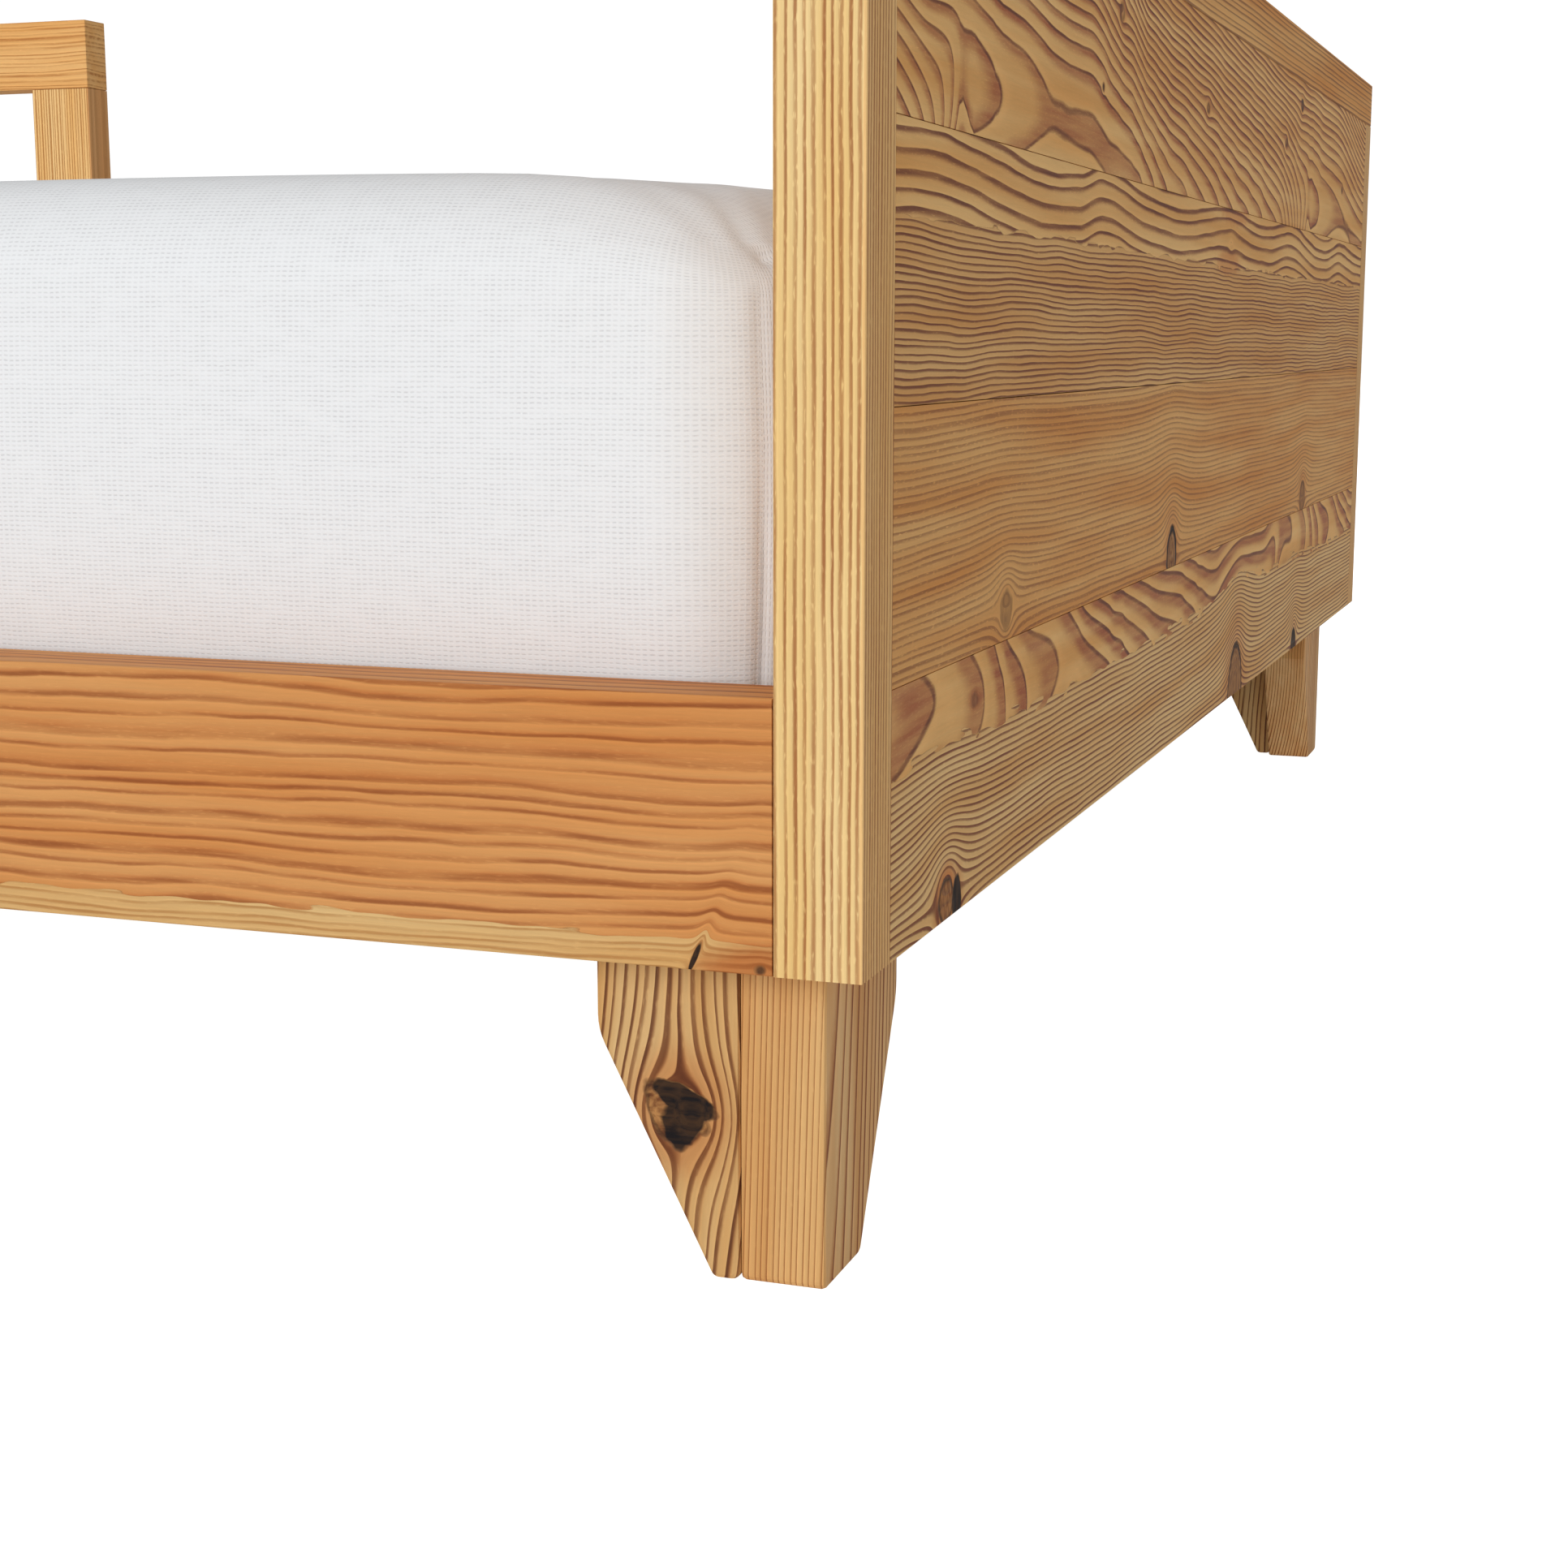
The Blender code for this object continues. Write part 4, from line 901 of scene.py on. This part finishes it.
class FLOORBED_OT_guard(BuildOperator, bpy.types.Operator):
    """Give the guard frame pale pine"""

    bl_idname = "floorbed.guard"
    bl_label = "Guard"

    def execute(self, context):
        oiled_pine(
            "guard_cap", "rail", (0, BACK_FACE - 12.0, 190.0), "gold",
            ring_width=2.4, wave=1.2, along=5200.0, uneven=1.2, band_start=0.5, fall_width=0.2,
            broken=0.7,
        )
        for index, (end, grain, way) in enumerate((("foot", "far post", 1), ("head", "post", -1))):
            low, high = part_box(f"guard_{end}_post")
            middle = middle_of(f"guard_{end}_post")
            pith = 80.0
            # The outer end face has tones of its own
            outer = pith + (high.x - low.x) / 2 * PER_METRE
            oiled_pine(
                f"guard_{end}_post", grain, (middle.x - pith * way, middle.y + 24.0, 0), "gold",
                ring_width=1.5, wave=0.15, along=2100.0 + 800 * index, fleck=0.8, broken=0.3,
                fall_width=0.16, early="#FBD292", late="#E0A45E", edge="#BC8248",
                zone_edge=SKIN - outer, zone_grain=0.0, zone_early="#E2AA70",
                zone_late="#D0985E", torn=0.2,
            )
        return {"FINISHED"}


# A slat screw: its places from the slat's ends and middle line, and its head
SCREW_IN = 9 * MM
SCREW_ASIDE = 22 * MM
HEAD_RADIUS = 3.5 * MM
NECK_RADIUS = 2.2 * MM
HEAD_DEPTH = 2.4 * MM
HEAD_PROUD = 0.15 * MM
RECESS_WALL = 2.0 * MM
RECESS_DEPTH = 1.2 * MM


def screw_head(form, place):
    """A screw head let into the slat, its rim just proud, with a recess for the driver."""
    made = bmesh.ops.create_cone(
        form, cap_ends=True, segments=16, radius1=NECK_RADIUS, radius2=HEAD_RADIUS, depth=HEAD_DEPTH
    )
    middle = place + Vector((0, 0, HEAD_PROUD - HEAD_DEPTH / 2))
    bmesh.ops.translate(form, vec=middle, verts=made["verts"])
    top = max(
        (face for face in form.faces if face.verts[0] in made["verts"]),
        key=lambda face: face.calc_center_median().z,
    )
    bmesh.ops.inset_region(form, faces=[top], thickness=RECESS_WALL, use_even_offset=True)
    bmesh.ops.translate(form, vec=(0, 0, -RECESS_DEPTH), verts=top.verts)


class FLOORBED_OT_bed_base(BuildOperator, bpy.types.Operator):
    """Give the cleats and slats plain pine, and screw the slats down"""

    bl_idname = "floorbed.bed_base"
    bl_label = "Cleats and slats"

    def execute(self, context):
        for side, way in (("front", -1), ("back", 1)):
            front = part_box(f"{side}_cleat")[0].y * PER_METRE
            oiled_pine(
                f"{side}_cleat", "rail", (0, front + 30 * way, 30.0), "pale",
                ring_width=2.2, wave=0.8, along=9000.0 + 700 * way,
            )
        form = bmesh.new()
        slats = sorted(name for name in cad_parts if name.startswith("slat_"))
        for index, name in enumerate(slats):
            low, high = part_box(name)
            middle = middle_of(name)
            lean = ((index * 37) % 11 - 5) * 9.0
            oiled_pine(
                name, "slat", (middle.x + lean, 0, middle.z - 14 - (index * 23) % 17), "pale",
                ring_width=2.1 + 0.3 * (index % 4), taper=1 / 150, wave=1.3, along=4000.0 + 1100 * index,
                knots=[
                    knot(
                        (middle.x - lean / 2, (index * 131) % 500 - 250.0, middle.z),
                        size=3.0 + index % 3, flow=5.0,
                    )
                ],
            )
            for end in (low.y + SCREW_IN, high.y - SCREW_IN):
                for aside in (-SCREW_ASIDE, SCREW_ASIDE):
                    screw_head(form, Vector((middle.x * MM + aside, end, high.z)))
        screws = new_piece(context, "slat_screws", form, zinc_plated_steel())
        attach(screws, "frame")
        return {"FINISHED"}


class FLOORBED_OT_legs(BuildOperator, bpy.types.Operator):
    """Give the four L legs their pine, with the big knot in the near one"""

    bl_idname = "floorbed.legs"
    bl_label = "Legs"

    def execute(self, context):
        for index, name in enumerate(("foot_front", "foot_back", "head_front", "head_back")):
            side = middle_of(f"{name}_leg_side_board")
            face = middle_of(f"{name}_leg_face_board")
            side_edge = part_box(f"{name}_leg_side_board")[0].y * PER_METRE
            knots = []
            if name == "foot_front":
                # The branch hole, broken out in a wedge, painted near-black as the shade in its hollow, with
                # brown wood left at its side
                hole = {"flow": 0.0, "dark": 1.0, "filled": 1.0, "red": 0.0, "ragged": 0.9}
                loose = {"flow": 0.0, "dark": 1.0, "filled": 0.0, "red": 0.0, "ragged": 0.6}
                across = FOOT_FACE - 40.9
                knots = [
                    knot((across, face.y, 36.8), size=7.0, length=0.46, lean=0.35, **hole),
                    knot((across, face.y, 33.0), size=4.8, length=1.25, lean=-0.35, **hole),
                    knot((across - 5.2, face.y, 34.2), size=3.3, length=1.6, lean=0.9, bark=0.5, **loose),
                    knot((across + 4.0, face.y, 31.6), size=1.7, length=1.0, bark=0.3, **loose),
                    knot((across - 1.2, face.y, 34.0), size=7.4, flow=8.6, dark=0.0, red=0.45),
                ]
            elif name == "foot_back":
                knots = [knot((face.x + 6, face.y, 57.0), length=1.0, dark=1.0, filled=0.8)]
            # The narrow front face of the side board has tones of its own
            pith = side - Vector((60.0, 28.0, side.z))
            oiled_pine(
                f"{name}_leg_side_board", "side", pith, "amber", ring_width=1.27, taper=-1 / 45,
                wave=0.3, along=600.0 * index, broken=0.15, band_start=0.5, flat_start=0.62,
                contrast=1.2, uneven=0.5, zone_edge=side_edge + 1.0 - pith.y, zone_grain=0.0,
                zone_early="#E8BA7C", zone_late="#AF7646", torn=0.3,
            )
            oiled_pine(
                f"{name}_leg_face_board", "post", (face.x + 45.0, face.y + 10.0, 0), "russet",
                ring_width=1.95, taper=1 / 60, wave=1.4, band_start=0.46,
                along=350.0 + 600.0 * index, knots=knots,
            )
            for part in ("leg_block", "corner_block"):
                middle = middle_of(f"{name}_{part}")
                oiled_pine(
                    f"{name}_{part}", "post", (middle.x + 25.0, middle.y - 12.0, 0), "pale",
                    ring_width=2.6, wave=0.6, along=5000.0 + 400 * index,
                )
        steel = zinc_plated_steel()
        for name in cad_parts:
            if name.endswith(("_bolt", "_insert", "_screw")):
                dress(name, steel)
        return {"FINISHED"}


# How the sides draw in and the top is crowned, how far the foam gives at the ends and corners,
# and how far the hem turns under, with its own corners
SIDE_DRAW = 0.0025
CROWN = 0.004
END_FALL = 0.0066
END_REACH = 0.026
CORNER_FALL = 0.012
CORNER_REACH = 0.035
HEM_REACH = 0.060
HEM_CORNER = 0.012
MATTRESS_DEPTH = 0.1265
BASE = SHEET_LOW.z
TOP = BASE + MATTRESS_DEPTH
# Distances down the side from the top edge to where its parts start and end
SIDE_START = TOP_EDGE * EIGHTH
SIDE_END = SIDE_START + TOP - BASE - TOP_EDGE - BOTTOM_EDGE
UNDER_START = SIDE_END + BOTTOM_EDGE * math.pi / 2
# Where the underside's own grid starts, so that its inset matches the flat middle
UNDER_TURN = UNDER_START + CORNER - BELLY - BOTTOM_EDGE - CORNER_BAND
# Steps of the grids: in the middle, near the corners, and down the sides
FOAM_STEPS = (0.016, 0.008, 0.010)
CLOTH_STEPS = (0.012, 0.0018, 0.0032)
NEAR_CORNER = 14 * MM
# Places closer than this are one place, and points closer than the second value are merged
CLOSE = 1e-6
MERGE = 1e-5
# How far the foam stays inside the sheet, how far it may swell, and the pressure that swells it
FOAM_ROOM = 0.0036
SWELL_MOST = 1.6 * MM
PRESSURE = 4.0
# Small forms of the stretched sheet: a slow swell, the lines from each corner, and the seam
SLOW_SWELL = 0.35 * MM
TOP_LINE = 1.1 * MM
TOP_LINE_REACH = 0.085
SIDE_LINE = 0.8 * MM
SIDE_LINE_REACH = 0.030
SEAM_WIDTH = 2.4 * MM
# The pinch where the seam starts, and the fold that runs up from it
PINCH_HEIGHT = 0.2068
PINCH_ROUND = 0.0052
PINCH_DEPTH = 3.2 * MM
PINCH_WIDTH = 3.0 * MM
FOLD_HEIGHT = 0.9 * MM
FOLD_WIDTH = 2.4 * MM
FOLD_LEAN = 1.3
# The hem's gathers: their height, and how close they come, as an angle for each metre
GATHER_HEIGHT = 0.5 * MM
GATHERS = 260


def spread(half, step, corner_step):
    """Places across one direction, closer together near both corners."""
    reach = CORNER_BAND + NEAR_CORNER
    plain = half - reach
    count = max(2, round(2 * plain / step))
    near = max(1, round(reach / corner_step))
    middle = [-plain + 2 * plain * index / count for index in range(count + 1)]
    edge = [plain + reach * (index + 1) / near for index in range(near)]
    return [-value for value in reversed(edge)] + middle + edge


def section(reach):
    """Inset and height of the cloth at a distance down from the top edge."""
    if reach < -SIDE_START:
        return BELLY + TOP_EDGE - reach - SIDE_START, TOP
    if reach < SIDE_START:
        angle = EIGHTH + reach / TOP_EDGE
        return BELLY + TOP_EDGE * (1 - math.sin(angle)), TOP - TOP_EDGE * (1 - math.cos(angle))
    if reach < SIDE_END:
        share = (reach - SIDE_START) / (SIDE_END - SIDE_START)
        return BELLY * (1 - math.sin(math.pi * share)), TOP - TOP_EDGE - (reach - SIDE_START)
    if reach < UNDER_START:
        angle = (reach - SIDE_END) / BOTTOM_EDGE
        return BELLY + BOTTOM_EDGE * (1 - math.cos(angle)), BASE + BOTTOM_EDGE * (1 - math.sin(angle))
    return BELLY + BOTTOM_EDGE + reach - UNDER_START, BASE


def smooth_step(value):
    """An even rise from 0 to 1, level at both ends."""
    value = min(max(value, 0.0), 1.0)
    return value * value * (3 - 2 * value)


def settle(flat, closed):
    """Where a point of the laid-out box comes to lie, which way it faces and how far down it is."""
    inner = Vector(
        (
            min(max(flat.x, -(OUTER.x - CORNER)), OUTER.x - CORNER),
            min(max(flat.y, -(OUTER.y - CORNER)), OUTER.y - CORNER),
        )
    )
    off = Vector((flat.x, flat.y)) - inner
    band = max(abs(off.x), abs(off.y))
    way = off.normalized() if band > 0 else Vector((0, 0))
    if closed and flat.z < -UNDER_TURN + CLOSE:
        reach = UNDER_TURN + CORNER_BAND - band
    else:
        reach = band - CORNER_BAND - flat.z
    inset, height = section(reach)
    least = HEM_CORNER if reach > UNDER_START and not closed else 0.0
    radius = max(CORNER - inset, least)
    straight = Vector((OUTER.x - inset - radius, OUTER.y - inset - radius))
    centre = Vector(
        (inner.x * straight.x / (OUTER.x - CORNER), inner.y * straight.y / (OUTER.y - CORNER))
    )
    if band == 0:
        centre, radius = inner, 0.0
    spot = centre + way * radius
    # The sides draw in between the corners, and the middle is crowned
    hold = smooth_step(band / CORNER_BAND)
    share = (inner.x / (OUTER.x - CORNER)) if abs(way.y) > abs(way.x) else (inner.y / (OUTER.y - CORNER))
    spot -= way * (SIDE_DRAW * (1 - share * share) * hold)
    if height > TOP - TOP_EDGE:
        rise = (1 - (spot.x / OUTER.x) ** 6) * (1 - (spot.y / OUTER.y) ** 4)
        height += CROWN * max(rise, 0.0)
        # The foam gives under the stretched cloth towards both ends
        from_end = max(OUTER.x - abs(spot.x), 0.0)
        share = (height - TOP + TOP_EDGE) / TOP_EDGE
        corner = Vector((from_end, OUTER.y - abs(spot.y))).length
        give = END_FALL * math.exp(-from_end / END_REACH)
        give += CORNER_FALL * math.exp(-((corner / CORNER_REACH) ** 2))
        height -= give * min(max(share, 0.0), 1.0)
    return Vector((spot.x, spot.y, height)), Vector((way.x, way.y, 0)), reach


def laid_out(steps, depth, closed):
    """The cloth laid out as a box: a grid on top and rings of cloth down to depth."""
    step, corner_step, down = steps
    across = spread(SEAM.x, step, corner_step)
    along = spread(SEAM.y, step, corner_step)
    form = bmesh.new()
    bmesh.ops.create_grid(form, x_segments=len(across) - 1, y_segments=len(along) - 1, size=1.0)
    for vertex in form.verts:
        column = round((vertex.co.x + 1) / 2 * (len(across) - 1))
        row = round((vertex.co.y + 1) / 2 * (len(along) - 1))
        vertex.co = Vector((across[column], along[row], 0))
    rows = max(2, round(depth / down))
    lid = list(form.faces)
    edges = [edge for edge in form.edges if edge.is_boundary]
    for _ in range(rows):
        grown = bmesh.ops.extrude_edge_only(form, edges=edges)["geom"]
        edges = [item for item in grown if isinstance(item, bmesh.types.BMEdge) and item.is_boundary]
        verts = {vertex for edge in edges for vertex in edge.verts}
        bmesh.ops.translate(form, vec=(0, 0, -depth / rows), verts=list(verts))
    if closed:
        copy = bmesh.ops.duplicate(form, geom=lid + list({v for f in lid for v in f.verts}))["geom"]
        verts = [item for item in copy if isinstance(item, bmesh.types.BMVert)]
        bmesh.ops.translate(form, vec=(0, 0, -depth), verts=verts)
        bmesh.ops.remove_doubles(form, verts=form.verts, dist=MERGE)
    bmesh.ops.recalc_face_normals(form, faces=form.faces)
    return form


def corner_pull(spot, way, reach):
    """Small forms that a stretched fitted sheet takes: tension lines, the corner seam and its pinch."""
    swell = SLOW_SWELL * noise.noise(Vector((spot.x * 7, spot.y * 11, spot.z * 14)))
    from_x = OUTER.x - abs(spot.x)
    from_y = OUTER.y - abs(spot.y)
    # Each corner has noise of its own
    seed = 3.1 if spot.x > 0 else 7.7
    seed += 1.9 if spot.y > 0 else 0.0
    if reach < 0:
        # Lines fan out over the top, from 6 mm off each corner
        away = math.hypot(from_x, from_y)
        angle = math.atan2(from_y, from_x)
        fade = smooth_step((away - 6 * MM) / (20 * MM)) * math.exp(-away / TOP_LINE_REACH)
        swell += TOP_LINE * fade * noise.noise(Vector((angle * 5.5, away * 6, seed)))
    elif reach < UNDER_START:
        # Lines run down the sides beside the seam, from 13 mm below the top edge
        turn = math.atan2(abs(way.y), abs(way.x))
        seam = abs(turn - EIGHTH) * CORNER
        plain = from_y if turn < EIGHTH else from_x
        away = seam + max(0.0, plain - CORNER)
        top = smooth_step((reach - 13 * MM) / (10 * MM))
        fade = math.exp(-away / SIDE_LINE_REACH) * top
        swell += SIDE_LINE * fade * noise.noise(Vector((away * 95, spot.z * 9, seed)))
        if seam < SEAM_WIDTH and min(abs(way.x), abs(way.y)) > 0:
            # The seam's groove is deeper low down
            deep = 0.35 + 0.55 * smooth_step((reach - 50 * MM) / (20 * MM))
            swell -= deep * MM * top * (1 - smooth_step(seam / SEAM_WIDTH))
        above = spot.z - PINCH_HEIGHT
        round_it = (turn - EIGHTH) * CORNER + PINCH_ROUND
        swell -= PINCH_DEPTH * math.exp(-((round_it / PINCH_WIDTH) ** 2) - (above / PINCH_WIDTH) ** 2)
        fold = math.exp(-(((round_it - above * FOLD_LEAN) / FOLD_WIDTH) ** 2))
        fade = 1 - smooth_step((above - 6 * MM) / (8 * MM))
        swell += FOLD_HEIGHT * fold * smooth_step(above / (2 * MM)) * fade
    return swell


class FLOORBED_OT_mattress(BuildOperator, bpy.types.Operator):
    """Make the foam mattress, puffed a little by cloth simulation"""

    bl_idname = "floorbed.mattress"
    bl_label = "Mattress"

    def execute(self, context):
        settings = context.scene.cloth_settings
        form = laid_out(FOAM_STEPS, UNDER_TURN, True)
        middle = Vector((0, 0, (TOP + BASE) / 2))
        smaller = Vector([1 - FOAM_ROOM / size for size in (*OUTER, middle.z - BASE)])
        for vertex in form.verts:
            spot, _, _ = settle(vertex.co.copy(), True)
            vertex.co = middle + (spot - middle) * smaller
        bmesh.ops.recalc_face_normals(form, faces=form.faces)
        made = new_piece(context, "mattress_foam", form, cotton_ticking())
        puff(context, made, settings.frames, SWELL_MOST)
        for face in made.data.polygons:
            face.use_smooth = True
        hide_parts("mattress")
        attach(made, "mattress")
        return {"FINISHED"}


def puff(context, made, frames, most):
    """Swell a padded piece with cloth pressure, and let no point move further than most."""
    before = [vertex.co.copy() for vertex in made.data.vertices]
    cloth = made.modifiers.new("puff", "CLOTH")
    cloth.settings.use_pressure = True
    cloth.settings.uniform_pressure_force = PRESSURE
    cloth.settings.effector_weights.gravity = 0.0
    cloth.point_cache.frame_start = 1
    cloth.point_cache.frame_end = frames
    for step in range(1, frames + 1):
        context.scene.frame_set(step)
    solved = made.evaluated_get(context.evaluated_depsgraph_get())
    after = [vertex.co.copy() for vertex in solved.data.vertices]
    made.modifiers.remove(cloth)
    context.scene.frame_set(1)
    for vertex, start, end in zip(made.data.vertices, before, after):
        move = end - start
        if move.length > most:
            move = move.normalized() * most
        vertex.co = start + move


class FLOORBED_OT_sheet(BuildOperator, bpy.types.Operator):
    """Stretch the fitted sheet over the mattress, with its corner seams and gathered hem"""

    bl_idname = "floorbed.sheet"
    bl_label = "Fitted sheet"

    def execute(self, context):
        settings = context.scene.cloth_settings
        depth = UNDER_START + HEM_REACH - BOTTOM_EDGE - BELLY
        form = laid_out(CLOTH_STEPS, depth, False)
        cloth = form.loops.layers.uv.new("cloth")
        for face in form.faces:
            places = [vertex.co for vertex in face.verts]
            hangs = any(co.z < 0 for co in places)
            side_x = hangs and all(abs(abs(co.x) - SEAM.x) < CLOSE for co in places)
            side_y = hangs and all(abs(abs(co.y) - SEAM.y) < CLOSE for co in places)
            for loop in face.loops:
                co = loop.vert.co
                across = co.x + (math.copysign(-co.z, co.x) if side_x else 0.0)
                along = co.y + (math.copysign(-co.z, co.y) if side_y else 0.0)
                loop[cloth].uv = (across, along)
        placed = {vertex: settle(vertex.co.copy(), False) for vertex in form.verts}
        for vertex, (spot, _, _) in placed.items():
            vertex.co = spot
        form.normal_update()
        for vertex, (spot, way, reach) in placed.items():
            vertex.co = spot + vertex.normal * corner_pull(spot, way, reach)
            if reach > UNDER_START:
                vertex.co.z += GATHER_HEIGHT * abs(math.sin((spot.x + spot.y) * GATHERS))
        made = new_piece(context, "sheet_cloth", form, waffle_knit(settings))
        for face in made.data.polygons:
            face.use_smooth = True
        wall = made.modifiers.new("thickness", "SOLIDIFY")
        wall.thickness = settings.thickness
        wall.offset = -1.0
        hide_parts("fitted_sheet")
        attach(made, "mattress")
        return {"FINISHED"}


class FLOORBED_PT_panel(bpy.types.Panel):
    """The bed's pieces and settings"""

    bl_label = "Floor Bed"
    bl_idname = "FLOORBED_PT_panel"
    bl_space_type = "VIEW_3D"
    bl_region_type = "UI"
    bl_category = "Floor Bed"

    def draw(self, context):
        for operator in OPERATORS:
            self.layout.operator(operator.bl_idname)
        for settings in (context.scene.studio_settings, context.scene.cloth_settings):
            box = self.layout.box()
            for name in settings.bl_rna.properties.keys():
                if name not in ("rna_type", "name"):
                    box.prop(settings, name)


OPERATORS = (
    FLOORBED_OT_studio,
    FLOORBED_OT_end_panels,
    FLOORBED_OT_rails,
    FLOORBED_OT_guard,
    FLOORBED_OT_bed_base,
    FLOORBED_OT_legs,
    FLOORBED_OT_mattress,
    FLOORBED_OT_sheet,
)
CLASSES = (StudioSettings, ClothSettings, *OPERATORS, FLOORBED_PT_panel)


def register():
    for item in CLASSES:
        bpy.utils.register_class(item)
    bpy.types.Scene.studio_settings = PointerProperty(type=StudioSettings)
    bpy.types.Scene.cloth_settings = PointerProperty(type=ClothSettings)


def unregister():
    del bpy.types.Scene.cloth_settings
    del bpy.types.Scene.studio_settings
    for item in reversed(CLASSES):
        bpy.utils.unregister_class(item)


def main():
    register()
    bpy.ops.floorbed.studio()
    bpy.ops.floorbed.end_panels()
    bpy.ops.floorbed.rails()
    bpy.ops.floorbed.guard()
    bpy.ops.floorbed.bed_base()
    bpy.ops.floorbed.legs()
    bpy.ops.floorbed.mattress()
    bpy.ops.floorbed.sheet()


if __name__ == "__main__":
    main()
